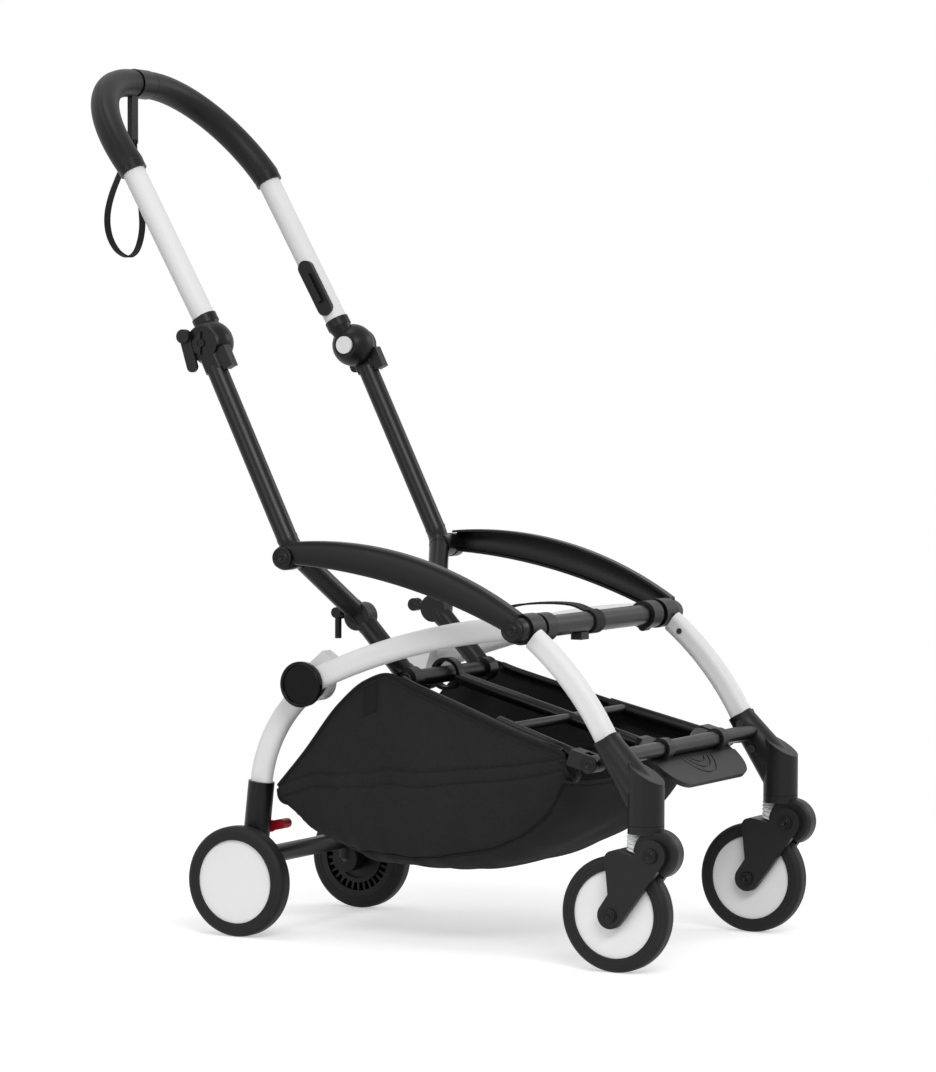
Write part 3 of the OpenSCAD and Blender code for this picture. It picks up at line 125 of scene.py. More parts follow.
def makeFineGrain():  # moulded or sprayed skin: fine height and slow patches of tone
    group, start, end = newGroup("fineGrain", {"Scale": 700.0, "Patches": 9.0}, ["Height", "Tone"])
    place = addNode(group, "ShaderNodeTexCoord").outputs["Object"]
    fine = addNode(group, "ShaderNodeTexNoise", {"Detail": 3.0, "Roughness": 0.62})
    slow = addNode(group, "ShaderNodeTexNoise", {"Detail": 2.0, "Roughness": 0.5})
    for noise, label in ((fine, "Scale"), (slow, "Patches")):
        group.links.new(place, noise.inputs["Vector"])
        group.links.new(start.outputs[label], noise.inputs["Scale"])
    group.links.new(fine.outputs["Fac"], end.inputs["Height"])
    group.links.new(slow.outputs["Fac"], end.inputs["Tone"])
    return group


rubFrom = 0.96  # cosine of the turn where the rub begins, so that facets of round bars stay clean


def makeEdgeRub():  # pale rub along sharp edges, broken into patches
    group, start, end = newGroup("edgeRub", {"Width": 0.0012, "Gain": 4.0, "Patch": 70.0}, ["Mask"])
    soft = addNode(group, "ShaderNodeBevel", samples=3)
    group.links.new(start.outputs["Width"], soft.inputs["Radius"])
    shape = addNode(group, "ShaderNodeNewGeometry")
    dot = addNode(group, "ShaderNodeVectorMath", operation="DOT_PRODUCT")
    group.links.new(soft.outputs["Normal"], dot.inputs[0])
    group.links.new(shape.outputs["Normal"], dot.inputs[1])
    bend = maths(group, "SUBTRACT", rubFrom, dot.outputs["Value"])
    turn = maths(group, "MAXIMUM", bend, 0.0)
    edge = maths(group, "MULTIPLY", turn, start.outputs["Gain"])
    noise = addNode(group, "ShaderNodeTexNoise", {"Detail": 4.0})
    group.links.new(addNode(group, "ShaderNodeTexCoord").outputs["Object"], noise.inputs["Vector"])
    group.links.new(start.outputs["Patch"], noise.inputs["Scale"])
    mask = maths(group, "MULTIPLY", edge, noise.outputs["Fac"])
    group.links.new(maths(group, "MINIMUM", mask, 1.0), end.inputs["Mask"])
    return group


def makeClothWeave():  # plain weave on a UV map in metres, with yarns of uneven tone
    group, start, end = newGroup("clothWeave", {"Threads": 900.0, "Patches": 14.0}, ["Height", "Tone"])
    flat = addNode(group, "ShaderNodeTexCoord").outputs["UV"]
    grid = addNode(group, "ShaderNodeVectorMath", operation="SCALE")
    group.links.new(flat, grid.inputs[0])
    group.links.new(start.outputs["Threads"], grid.inputs["Scale"])
    parts = addNode(group, "ShaderNodeSeparateXYZ")
    group.links.new(grid.outputs[0], parts.inputs[0])
    waves, cells = [], []
    for label in ("X", "Y"):
        turn = maths(group, "MULTIPLY", parts.outputs[label], math.pi)
        waves.append(maths(group, "ABSOLUTE", maths(group, "SINE", turn)))
        cells.append(maths(group, "FLOOR", parts.outputs[label]))
    over = maths(group, "FLOORED_MODULO", maths(group, "ADD", *cells), 2.0)
    height = addNode(group, "ShaderNodeMix", data_type="FLOAT")
    group.links.new(over, height.inputs["Factor"])
    group.links.new(waves[0], height.inputs["A"])
    group.links.new(waves[1], height.inputs["B"])
    group.links.new(height.outputs["Result"], end.inputs["Height"])
    yarn = addNode(group, "ShaderNodeTexWhiteNoise", noise_dimensions="2D")
    spread = addNode(group, "ShaderNodeCombineXYZ")
    for label, cell in zip("XY", cells):
        group.links.new(cell, spread.inputs[label])
    group.links.new(spread.outputs[0], yarn.inputs["Vector"])
    slow = addNode(group, "ShaderNodeTexNoise", {"Detail": 3.0})
    group.links.new(flat, slow.inputs["Vector"])
    group.links.new(start.outputs["Patches"], slow.inputs["Scale"])
    yarns = maths(group, "MULTIPLY", yarn.outputs["Value"], 0.45)
    clouds = maths(group, "MULTIPLY", slow.outputs["Fac"], 0.55)
    tone = maths(group, "ADD", yarns, clouds)
    group.links.new(tone, end.inputs["Tone"])
    return group


fineGrain, edgeRub, clothWeave = makeFineGrain(), makeEdgeRub(), makeClothWeave()


def tones(tree, factor, dark, light):  # the mix node's sockets 6 and 7 and its output 2 are the colours
    mix = addNode(tree, "ShaderNodeMix", data_type="RGBA")
    tree.links.new(factor, mix.inputs[0])
    mix.inputs[6].default_value = (*dark, 1)
    mix.inputs[7].default_value = (*light, 1)
    return mix


def ranged(tree, factor, low, high):
    node = addNode(tree, "ShaderNodeMapRange", {"To Min": low, "To Max": high})
    tree.links.new(factor, node.inputs["Value"])
    return node.outputs["Result"]


def roughen(tree, factor, skin, rough, swing):
    tree.links.new(ranged(tree, factor, rough - swing, rough + swing), skin.inputs["Roughness"])


def newFinish(name, look):
    material = bpy.data.materials.new(name)
    material.use_nodes = True
    tree = material.node_tree
    skin = tree.nodes["Principled BSDF"]
    for label, key in (("Metallic", "metal"), ("Specular IOR Level", "shine"), ("Coat Weight", "coat"),
                       ("Coat Roughness", "coatRough"), ("Sheen Weight", "sheen"),
                       ("Sheen Roughness", "sheenRough"), ("Subsurface Weight", "glow")):
        if key in look:
            skin.inputs[label].default_value = look[key]
    return material, tree, skin


def hardFinish(name, look):  # paint, plastic, rubber and metal
    material, tree, skin = newFinish(name, look)
    grain = useGroup(tree, fineGrain, Scale=look["grain"], Patches=look.get("patches", 9.0))
    dark = [c * (1 - look["drift"]) for c in look["colour"]]
    light = [min(1, c * (1 + look["drift"])) for c in look["colour"]]
    base = tones(tree, grain.outputs["Tone"], dark, light)
    rub = useGroup(tree, edgeRub, Width=0.001, Gain=look.get("rubGain", 3.0), Patch=70.0)
    worn = addNode(tree, "ShaderNodeMix", data_type="RGBA")
    tree.links.new(rub.outputs["Mask"], worn.inputs[0])
    tree.links.new(base.outputs[2], worn.inputs[6])
    worn.inputs[7].default_value = (*look["rub"], 1)
    tree.links.new(worn.outputs[2], skin.inputs["Base Color"])
    roughen(tree, grain.outputs["Tone"], skin, look["rough"], 0.06)
    bump = addNode(tree, "ShaderNodeBump", {"Strength": 1.0, "Distance": look["depth"]})
    tree.links.new(grain.outputs["Height"], bump.inputs["Height"])
    tree.links.new(bump.outputs["Normal"], skin.inputs["Normal"])
    return material


def clothFinish(name, look):  # woven cloth and webbing
    material, tree, skin = newFinish(name, look)
    weave = useGroup(tree, clothWeave, Threads=look["threads"], Patches=look["patches"])
    base = tones(tree, weave.outputs["Tone"], look["dark"], look["light"])
    tree.links.new(base.outputs[2], skin.inputs["Base Color"])
    roughen(tree, weave.outputs["Tone"], skin, look["rough"], 0.08)
    bump = addNode(tree, "ShaderNodeBump", {"Strength": 0.9, "Distance": look["depth"]})
    tree.links.new(weave.outputs["Height"], bump.inputs["Height"])
    tree.links.new(bump.outputs["Normal"], skin.inputs["Normal"])
    return material


def leatherFinish(name, look):  # grip skin: pebbles over slow patches of shine
    material, tree, skin = newFinish(name, look)
    grain = useGroup(tree, fineGrain, Scale=look["grain"], Patches=look["patches"])
    base = tones(tree, grain.outputs["Tone"], look["dark"], look["light"])
    tree.links.new(base.outputs[2], skin.inputs["Base Color"])
    roughen(tree, grain.outputs["Tone"], skin, look["rough"], 0.08)
    pebbles = addNode(tree, "ShaderNodeTexVoronoi", {"Scale": look["pebbles"]}, feature="SMOOTH_F1")
    tree.links.new(addNode(tree, "ShaderNodeTexCoord").outputs["Object"], pebbles.inputs["Vector"])
    domes = maths(tree, "MULTIPLY", pebbles.outputs["Distance"], -1.0)
    height = maths(tree, "ADD", domes, maths(tree, "MULTIPLY", grain.outputs["Height"], 0.4))
    bump = addNode(tree, "ShaderNodeBump", {"Strength": 1.0, "Distance": look["depth"]})
    tree.links.new(height, bump.inputs["Height"])
    tree.links.new(bump.outputs["Normal"], skin.inputs["Normal"])
    return material


finishes = dict(
    whitePaint=dict(colour=(0.78, 0.78, 0.78), rub=(0.66, 0.66, 0.65), rough=0.42,
                    grain=620.0, depth=0.000012, drift=0.012, rubGain=1.0, shine=0.3),
    blackPaint=dict(colour=(0.003, 0.003, 0.0033), rub=(0.03, 0.03, 0.03), rough=0.33,
                    grain=900.0, depth=0.00002, drift=0.2, rubGain=1.6, shine=0.24),
    blackPlastic=dict(colour=(0.0035, 0.0035, 0.0038), rub=(0.03, 0.03, 0.03), rough=0.36,
                      grain=1400.0, depth=0.00004, drift=0.2, rubGain=2.0, shine=0.21),
    charcoalPlastic=dict(colour=(0.008, 0.008, 0.0085), rub=(0.04, 0.04, 0.04), rough=0.42,
                         grain=1500.0, depth=0.00005, drift=0.18, rubGain=2.0, shine=0.22),
    glossBlack=dict(colour=(0.003, 0.003, 0.0033), rub=(0.02, 0.02, 0.02), rough=0.14,
                    grain=300.0, depth=0.000006, drift=0.15, shine=0.12, coat=0.06, coatRough=0.08),
    whitePlastic=dict(colour=(0.83, 0.83, 0.83), rub=(0.72, 0.72, 0.71), rough=0.46,
                      grain=1100.0, depth=0.00002, drift=0.01, rubGain=0.8, shine=0.35),
    tyreRubber=dict(colour=(0.0125, 0.0125, 0.013), rub=(0.028, 0.028, 0.027), rough=0.56,
                    grain=1600.0, depth=0.0001, drift=0.22, shine=0.2, patches=22.0),
    zincSteel=dict(colour=(0.045, 0.045, 0.048), rub=(0.2, 0.2, 0.2), rough=0.36,
                   grain=900.0, depth=0.00003, drift=0.2, metal=0.6, shine=0.3),
    redPlastic=dict(colour=(0.36, 0.006, 0.014), rub=(0.5, 0.05, 0.05), rough=0.4,
                    grain=1200.0, depth=0.00004, drift=0.12, shine=0.3),
    springRubber=dict(colour=(0.80, 0.80, 0.79), rub=(0.7, 0.7, 0.69), rough=0.5,
                      grain=900.0, depth=0.00004, drift=0.02, glow=0.1),
)
skins = {name: hardFinish(name, look) for name, look in finishes.items()}
basketCloth = clothFinish("basketCloth", dict(
    dark=(0.014, 0.014, 0.0148), light=(0.03, 0.03, 0.031), rough=0.84, threads=1150.0, patches=16.0,
    depth=0.00022, sheen=0.03, sheenRough=0.5, shine=0.08))
hemCloth = clothFinish("hemCloth", dict(
    dark=(0.0085, 0.0085, 0.009), light=(0.018, 0.018, 0.0185), rough=0.76, threads=1500.0, patches=24.0,
    depth=0.00014, sheen=0.03, sheenRough=0.5, shine=0.1))
webbing = clothFinish("webbing", dict(
    dark=(0.005, 0.005, 0.0055), light=(0.014, 0.014, 0.0145), rough=0.66, threads=1700.0, patches=30.0,
    depth=0.00025, sheen=0.04, sheenRough=0.45, shine=0.15))
thread = clothFinish("thread", dict(
    dark=(0.005, 0.005, 0.0052), light=(0.011, 0.011, 0.0115), rough=0.6, threads=4000.0, patches=60.0,
    depth=0.0001, sheen=0.03, shine=0.15))
gripSkin = leatherFinish("gripSkin", dict(
    dark=(0.0055, 0.0055, 0.006), light=(0.0105, 0.0105, 0.011), rough=0.44, grain=500.0, patches=14.0,
    pebbles=900.0, depth=0.00012, shine=0.2))
print("finishes made:", len(skins) + 5)

nodeFinish = dict(
    whitePaint=["seat_rails", "rear_legs", "front_legs", "upper_tubes"],
    blackPaint=["crossbar", "lower_tubes", "low_axle", "struts", "rear_axle_bar", "footrest_bar"],
    blackPlastic=["hub_barrels", "joint_shells", "joint_balls", "leg_brackets", "catch_lever", "latch_plate",
                  "strap_slider", "rear_sleeves", "pivot_caps", "grip_block", "grip_collars"],
    charcoalPlastic=["crossbar_collars", "armrests", "fork_castings", "footrest_plate", "accessory_clips",
                     "link_brackets", "strut_clevises", "fold_button", "castor_head_left",
                     "castor_head_right", "arm_fork_left", "arm_fork_right", "rear_core_left",
                     "rear_core_right"],
    glossBlack=["hub_caps"],
    whitePlastic=["rear_disc_left", "rear_disc_right", "front_disc_left", "front_disc_right",
                  "release_button_left", "release_button_right"],
    tyreRubber=["rear_tyre_left", "rear_tyre_right", "front_tyre_left", "front_tyre_right"],
    zincSteel=["hub_pins", "rear_axles", "frame_screws", "swivel_pin_left", "swivel_pin_right",
               "arm_bolts_left", "arm_bolts_right"],
    redPlastic=["brake_pedal"],
    springRubber=["elastomer_left", "elastomer_right"],
)
for name, members in nodeFinish.items():
    for member in members:
        cad[member].data.materials.clear()
        cad[member].data.materials.append(skins[name])
softEdges = dict(width=0.0011, steps=2, limit=38, pieces=[
    "arm_fork_left", "arm_fork_right", "castor_head_left", "castor_head_right", "fork_castings",
    "footrest_plate", "brake_pedal", "accessory_clips", "strut_clevises", "latch_plate", "fold_button",
    "hub_caps", "pivot_caps", "link_brackets", "catch_lever"])
for member in softEdges["pieces"]:
    edge = cad[member].modifiers.new("softEdge", "BEVEL")
    edge.width, edge.segments = softEdges["width"], softEdges["steps"]
    edge.limit_method, edge.angle_limit = "ANGLE", math.radians(softEdges["limit"])
print("frame painted")


# mesh helpers

def newPiece(name, points, faces, material, body, flat):
    mesh = bpy.data.meshes.new(name)
    mesh.from_pydata([tuple(p) for p in points], [], faces)
    mesh.validate()
    layer = mesh.uv_layers.new(name="cut")
    index = np.zeros(len(mesh.loops), np.int32)
    mesh.loops.foreach_get("vertex_index", index)
    layer.data.foreach_set("uv", np.array(flat, np.float32)[index].ravel())
    mesh.materials.append(material)
    mesh.shade_smooth()
    piece = bpy.data.objects.new(name, mesh)
    bpy.context.scene.collection.objects.link(piece)
    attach(piece, body)
    return piece


def ringFaces(n, m):  # skin over n rings of m points
    return [(i * m + k, i * m + (k + 1) % m, (i + 1) * m + (k + 1) % m, (i + 1) * m + k)
            for i in range(n - 1) for k in range(m)]


def ringCaps(n, m):  # the first and last ring as faces
    return [tuple(range(m))[::-1], tuple((n - 1) * m + k for k in range(m))]


def gridFaces(n, m):  # skin over n rows of m points
    return [(i * m + k, (i + 1) * m + k, (i + 1) * m + k + 1, i * m + k + 1)
            for i in range(n - 1) for k in range(m - 1)]


def heading(line):  # unit steps along a line
    ahead = np.gradient(line, axis=0)
    return ahead / np.linalg.norm(ahead, axis=1)[:, None]


def runAlong(line):  # length from the start at each point of a line
    return np.concatenate([[0], np.cumsum(np.linalg.norm(np.diff(line, axis=0), axis=1))])


def pointsAt(at, along, line):  # points of a line at given lengths
    return np.stack([np.interp(at, along, line[:, k]) for k in range(3)], 1)


def smoothRoute(points, step, fine=24):  # even points on a soft curve through the given ones
    p = np.array([tuple(q) for q in points], float)
    p = np.vstack([2 * p[0] - p[1], p, 2 * p[-1] - p[-2]])
    line = []
    for a, b, c, d in zip(p, p[1:], p[2:], p[3:]):
        t = np.linspace(0, 1, fine, endpoint=False)[:, None]
        bend, turn = 2 * a - 5 * b + 4 * c - d, 3 * b - a - 3 * c + d
        line.append(0.5 * (2 * b + (c - a) * t + bend * t ** 2 + turn * t ** 3))
    line = np.vstack([*line, p[-2][None]])
    along = runAlong(line)
    at = np.linspace(0, along[-1], max(3, int(along[-1] / step) + 1))
    return pointsAt(at, along, line), along[-1]


def track(xs, ys, at):  # smooth rise and fall through stations, with no overshoot
    xs, ys = np.array(xs, float), np.array(ys, float)
    gaps, slopes = np.diff(xs), np.diff(ys) / np.diff(xs)
    before, after = slopes[:-1], slopes[1:]
    inner = np.where(before * after > 0, 2 * before * after / (before + after + 1e-12), 0)
    ends = np.concatenate([[slopes[0]], inner, [slopes[-1]]])
    k = np.clip(np.searchsorted(xs, at) - 1, 0, len(xs) - 2)
    t = (np.asarray(at) - xs[k]) / gaps[k]
    a, b = (1 + 2 * t) * (1 - t) ** 2, t * (1 - t) ** 2
    c, d = t * t * (3 - 2 * t), t * t * (t - 1)
    return a * ys[k] + b * gaps[k] * ends[k] + c * ys[k + 1] + d * gaps[k] * ends[k + 1]


def ribbon(line, across, width, thick):  # flat webbing along a line, with rounded selvedges
    line = np.asarray(line)
    ahead = heading(line)
    across = np.broadcast_to(np.asarray(across, float), line.shape)
    side = across - (across * ahead).sum(1)[:, None] * ahead
    side /= np.linalg.norm(side, axis=1)[:, None]
    lift = np.cross(ahead, side)
    half, t = width / 2, thick / 2
    edge, lip, level = half - t * 0.5, t * 1.1, half * 0.7
    ring = [(-half, 0), (-edge, lip), (-level, t), (0, t), (level, t), (edge, lip),
            (half, 0), (edge, -lip), (level, -t), (0, -t), (-level, -t), (-edge, -lip)]
    along = runAlong(line)
    points, flat = [], []
    for i, p in enumerate(line):
        for a, b in ring:
            points.append(p + side[i] * a + lift[i] * b)
            flat.append((along[i], a))
    n, m = len(line), len(ring)
    return points, ringFaces(n, m) + ringCaps(n, m), flat


def tube(line, radius, sides):  # round bar along a line; radius may change along it
    line = np.asarray(line)
    radius = np.broadcast_to(np.asarray(radius, float), (len(line),))
    ahead = heading(line)
    side = np.cross(ahead[0], (0.3, 0.9, 0.31))  # a start that no line here runs along
    points, flat, run = [], [], 0.0
    for i, p in enumerate(line):
        side = side - (side @ ahead[i]) * ahead[i]
        side = side / np.linalg.norm(side)
        lift = np.cross(ahead[i], side)
        run += np.linalg.norm(p - line[i - 1]) if i else 0
        for k in range(sides):
            a = 2 * math.pi * k / sides
            points.append(p + radius[i] * (side * math.cos(a) + lift * math.sin(a)))
            flat.append((run, radius[i] * a))
    return points, ringFaces(len(line), sides) + ringCaps(len(line), sides), flat


def turned(centre, out, profile, sides=40):  # turned about X, by radius and height; out is the way it faces
    points, flat = [], []
    for r, h in profile:
        for k in range(sides):
            a = 2 * math.pi * k / sides
            points.append((centre[0] + out * h, centre[1] + r * math.cos(a), centre[2] + r * math.sin(a)))
            flat.append((r * a, h + r))
    faces = ringFaces(len(profile), sides)
    if out > 0:
        faces = [f[::-1] for f in faces]
    return points, faces, flat


def gathered(name, parts, material, body):  # several point and face lists as one piece
    points, faces, flat = [], [], []
    for p, f, u in parts:
        base = len(points)
        points += list(p)
        flat += list(u)
        faces += [tuple(base + k for k in face) for face in f]
    return newPiece(name, points, faces, material, body, flat)


dash = dict(long=0.0034, rest=0.0014, wide=0.0004, sides=6, rise=(-0.6, 0.5, 0.8, 0.5, -0.6),
            swell=(0.5, 0.95, 1, 0.95, 0.5))


def stitchRow(line, lift):  # thread dashes just proud of the cloth
    line, lift = np.asarray(line), np.asarray(lift)
    along = runAlong(line)
    rise, swell = dash["wide"] * np.array(dash["rise"]), dash["wide"] * np.array(dash["swell"])
    parts, at = [], dash["rest"]
    while at + dash["long"] < along[-1]:
        s = np.linspace(at, at + dash["long"], len(rise))
        p = pointsAt(s, along, line) + pointsAt(s, along, lift) * rise[:, None]
        parts.append(tube(p, swell, dash["sides"]))
        at += dash["long"] + dash["rest"]
    return parts


# wrist strap, first of the soft pieces because it is the only free cord
strap = dict(width=0.010, thick=0.0017, step=0.0025, across=(0.16, 1, 0), x=-22, back=4, drop=75.5, hang=(
    (-3, 0, 5), (-3, 0, -4), (-8, 1, -14), (-18, 3, -30), (-29, 5, -48), (-38, 7, -66), (-45, 8, -86),
    (-46, 8, -104), (-41, 7, -120), (-31, 5, -133), (-19, 3, -140), (-6, 1, -142), (6, -1, -135),
    (14, -2, -121), (17, -3, -104), (16, -3, -86), (13, -2, -66), (9, -1, -48), (6, -1, -30), (4, 0, -14),
    (3, 0, -4), (3, 0, 5)))
gripPlan = dict(foot=(335.621, 932.727), rise=142.0, bend=141.0, lean=39.0, half=161.0, d=35.0,
                blockHalf=15.0)


def leaned(x, up):  # a point of the grip's leaning plane, in metres
    a = math.radians(gripPlan["lean"])
    return spot(x, gripPlan["foot"][0] + up * math.sin(a), gripPlan["foot"][1] + up * math.cos(a))


def makeWristStrap():
    a = math.radians(gripPlan["lean"])
    y0 = gripPlan["foot"][0] + gripPlan["rise"] * math.sin(a) - strap["back"]
    z0 = gripPlan["foot"][1] + gripPlan["rise"] * math.cos(a) - strap["drop"]
    route = [spot(strap["x"] + x, y0 + y, z0 + z) for x, y, z in strap["hang"]]
    line, long = smoothRoute(route, strap["step"])
    points, faces, flat = ribbon(line, strap["across"], strap["width"], strap["thick"])
    piece = newPiece("wristStrap", points, faces, webbing, "handlebar", flat)
    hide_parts("wrist_strap")
    print("wrist strap made, length", round(long, 3))


makeWristStrap()


# padded grip: leatherette sleeve in two halves, butted on the middle block, with a seam along the inside
gripCover = dict(start=-4.0, gap=0.4, ring=56, step=0.0022, arcSteps=80, legSteps=4, tuck=0.0011,
                 tuckLong=0.0022, seamAngle=205.0, seamDeep=0.0009, seamWide=5.0)


def makeGripCover():
    rise, bend, half = gripPlan["rise"], gripPlan["bend"], gripPlan["half"]
    quarter = np.linspace(0, math.pi / 2, gripCover["arcSteps"])
    legUp = np.linspace(gripCover["start"], rise - bend, gripCover["legSteps"])
    crownIn = np.linspace(half - bend, gripPlan["blockHalf"] + gripCover["gap"], gripCover["legSteps"])
    route = [(half, up) for up in legUp[:-1]]
    route += [(half - bend + bend * math.cos(a), rise - bend + bend * math.sin(a)) for a in quarter]
    route += [(x, rise) for x in crownIn[1:]]
    lean = math.radians(gripPlan["lean"])
    front = np.array((0, math.cos(lean), -math.sin(lean)))  # square to the grip's plane
    for side in (-1, 1):
        line = np.array([leaned(side * x, up) for x, up in route])
        along = runAlong(line)
        at = np.linspace(0, along[-1], int(along[-1] / gripCover["step"]))
        line = pointsAt(at, along, line)
        ahead = heading(line)
        points, flat = [], []
        n, m = len(line), gripCover["ring"]
        for i, p in enumerate(line):
            inward = np.cross(ahead[i], front) * -side
            end = min(at[i], at[-1] - at[i])
            radius = gripPlan["d"] / 2000 - gripCover["tuck"] * math.exp(-(end / gripCover["tuckLong"]) ** 2)
            for k in range(m):
                angle = 360 * k / m
                gap = (angle - gripCover["seamAngle"] + 180) % 360 - 180
                r = radius - gripCover["seamDeep"] * math.exp(-(gap / gripCover["seamWide"]) ** 2)
                t = math.radians(angle)
                points.append(p + r * (math.cos(t) * -inward + math.sin(t) * front))
                flat.append((at[i], r * t))
        faces = ringFaces(n, m) + ringCaps(n, m)
        if side > 0:
            faces = [f[::-1] for f in faces]
        name = "gripCoverLeft" if side > 0 else "gripCoverRight"
        piece = newPiece(name, points, faces, gripSkin, "handlebar", flat)
        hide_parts("grip")
    print("grip covers made")


makeGripCover()


# armrests: moulded blades with a crowned outer face, hollow towards the seat
armrest = dict(wide=19.0, rise=27.0, high=37.0, topBow=478.0, lowBow=764.0, wall=3.0, lip=1.0, crown=9.0,
               cornerWalls=2.4, faceEase=0.5, edgeEase=0.72, eye=14.9, steps=80, turns=24, sharp=38,
               bossRim=((0.0, 3.0), (1.0, 1.0), (3.0, 0.2)))


def armrestRing(low, high, wide):  # section across the blade: steps out from the seat side, and up
    wall, lip, crown = armrest["wall"], armrest["lip"], armrest["crown"]
    corner, inner = armrest["cornerWalls"] * wall, wide - 2 * wall
    middle, half = (low + high) / 2, (high - low) / 2
    ring = [(0, low + lip), (lip, low)]
    for a in np.radians(np.linspace(-90, 90, armrest["turns"])):
        out = wide - crown + crown * max(0.0, math.cos(a)) ** armrest["faceEase"]
        up = math.copysign(abs(math.sin(a)) ** armrest["edgeEase"], math.sin(a))
        ring.append((out, middle + half * up))
    ring += [(lip, high), (0, high - lip), (0, high - wall), (inner, high - wall)]
    ring += [(wide - wall, high - corner), (wide - wall, low + corner)]
    return ring + [(inner, low + wall), (0, low + wall)]


def bowed(bow, t):  # drop of a long arc beside its middle
    return math.sqrt(bow ** 2 - t * t) - bow


def makeArmrests():
    rear, fore = np.array(pivots["arm"]), np.array(pivots["fore"])
    middle, span = (rear + fore) / 2, np.linalg.norm(fore - rear)
    ahead = (fore - rear) / span
    up = np.array((ahead[1], -ahead[0]))
    low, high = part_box("armrests")
    for side, name in ((-1, "armrestCoverRight"), (1, "armrestCoverLeft")):
        outer = (high[0] if side > 0 else -low[0]) * 1000
        wide = armrest["wide"]
        points, flat = [], []
        for t in np.linspace(-span / 2, span / 2, armrest["steps"]):
            top = armrest["rise"] + armrest["high"] / 2 + bowed(armrest["topBow"], t)
            base = armrest["rise"] - armrest["high"] / 2 + bowed(armrest["lowBow"], t)
            ring = armrestRing(base, top, wide)
            for x, h in ring:
                y, z = middle + ahead * t + up * h
                points.append(spot(side * (outer - wide + x), y, z))
                flat.append((t / 1000, (x + h) / 1000))
        n, m = armrest["steps"], len(ring)
        faces = [(a, d, c, b) for a, b, c, d in ringFaces(n, m)] + [f[::-1] for f in ringCaps(n, m)]
        if side > 0:
            faces = [f[::-1] for f in faces]
        parts = [(points, faces, flat)]
        boss = [(0.0, 0.0), (armrest["eye"], 0.0)]
        boss += [(armrest["eye"] - inset, wide - drop) for inset, drop in armrest["bossRim"]]
        boss += [(0.0, boss[-1][1])]
        for pivot in (rear, fore):
            centre = (side * (outer - wide) / 1000, *spot(0, *pivot).yz)
            parts.append(turned(centre, side, [(r / 1000, h / 1000) for r, h in boss]))
        piece = gathered(name, parts, skins["blackPlastic"], "armrests")
        piece.data.set_sharp_from_angle(angle=math.radians(armrest["sharp"]))
        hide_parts("armrests")
    print("armrests made")


makeArmrests()


# pull strap: one length of webbing round the crossbar, laid back and doubled at its end
pullStrap = dict(x=-14.0, width=0.025, thick=0.0022, step=0.002, wrap=13.6, wrapFrom=-42, wrapTo=-282,
                 wrapSteps=14, top=((20, 19), (45, 20.5), (75, 19), (100, 15.5)), turn=(118, 9.5),
                 low=((106, 4.5), (85, 2.5), (55, 1.0), (32, -3.0)))


def makePullStrap():
    y0, z0 = pivots["fore"]
    turns = np.radians(np.linspace(pullStrap["wrapFrom"], pullStrap["wrapTo"], pullStrap["wrapSteps"]))
    wrap = [(pullStrap["wrap"] * math.cos(a), pullStrap["wrap"] * math.sin(a)) for a in turns]
    loop = [*wrap, *pullStrap["top"], pullStrap["turn"], *pullStrap["low"], wrap[0]]
    route = [spot(pullStrap["x"], y0 + y, z0 + z) for y, z in loop]
    line, long = smoothRoute(route, pullStrap["step"])
    points, faces, flat = ribbon(line, (1, 0, 0), pullStrap["width"], pullStrap["thick"])
    piece = newPiece("pullStrap", points, faces, webbing, "seat_frame", flat)
    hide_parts("pull_strap")
    print("pull strap made, length", round(long, 3))


makePullStrap()


# basket: leaf-shaped side panels sewn to a floor panel that runs up at both ends
basket = dict(rear=140.0, front=-272.0, low=89.0, top=323.0, half=178.0, sidePower=0.36, deepPower=0.5,
              along=206, across=240, trace=1201, thick=0.0016, ripple=0.0011, squashTop=0.346, keep=0.09)
stations = dict(
    place=(0, 0.085, 0.2, 0.282, 0.354, 0.449, 0.631, 0.825, 0.934, 0.981, 1),
    top=(0.406, 0.58, 0.838, 0.958, 1, 0.949, 0.851, 0.747, 0.696, 0.671, 0.582),
    low=(0.29, 0.137, 0.061, 0.012, 0.002, 0, 0.012, 0.127, 0.258, 0.389, 0.5),
    topHalf=(0.775, 0.765, 0.75, 0.74, 0.74, 0.785, 0.87, 0.965, 1.015, 1.025, 1.03),
    lowHalf=(0.76, 0.785, 0.835, 0.875, 0.895, 0.915, 0.93, 0.93, 0.9, 0.88, 0.87),
)
seams = dict(  # how far below the top edge, in millimetres, at places from rear to front
    bandTop=((0.013, 0.12, 0.2, 0.327, 0.45, 0.623, 0.8, 0.969), (3, 42, 84, 113, 101, 71.4, 40.5, 10)),
    bandLow=((0.013, 0.12, 0.2, 0.333, 0.45, 0.623, 0.8, 0.975), (19, 59, 101, 131, 119, 88, 57, 23)),
    lower=((0.006, 0.088, 0.208, 0.365, 0.597, 0.748, 0.906, 0.987), (21, 107, 190, 221, 181, 148, 90, 34)),
)
grooves = dict(bandTop=(0.0021, 1.7), bandLow=(0.0021, 1.7), lower=(0.0026, 2.8))  # metres deep, mm wide
grooveEnds = (0.01, 0.992)
stitchShift = dict(bandTop=0, bandLow=0, lower=-4.0)
hem = dict(rows=(5.0, 9.0), places=(0.012, 0.3, 0.6, 0.985), count=260, side=0.0022, end=0.0020, step=0.003,
           sides=10)
piping = dict(proud=0.0006, radius=0.0011, sides=8, count=140)
ripples = dict(long=31, longSkew=0.021, down=0.034, downSkew=9, fine=67, fineSkew=0.05, fineShare=0.5,
               hemFree=40, endEase=12)
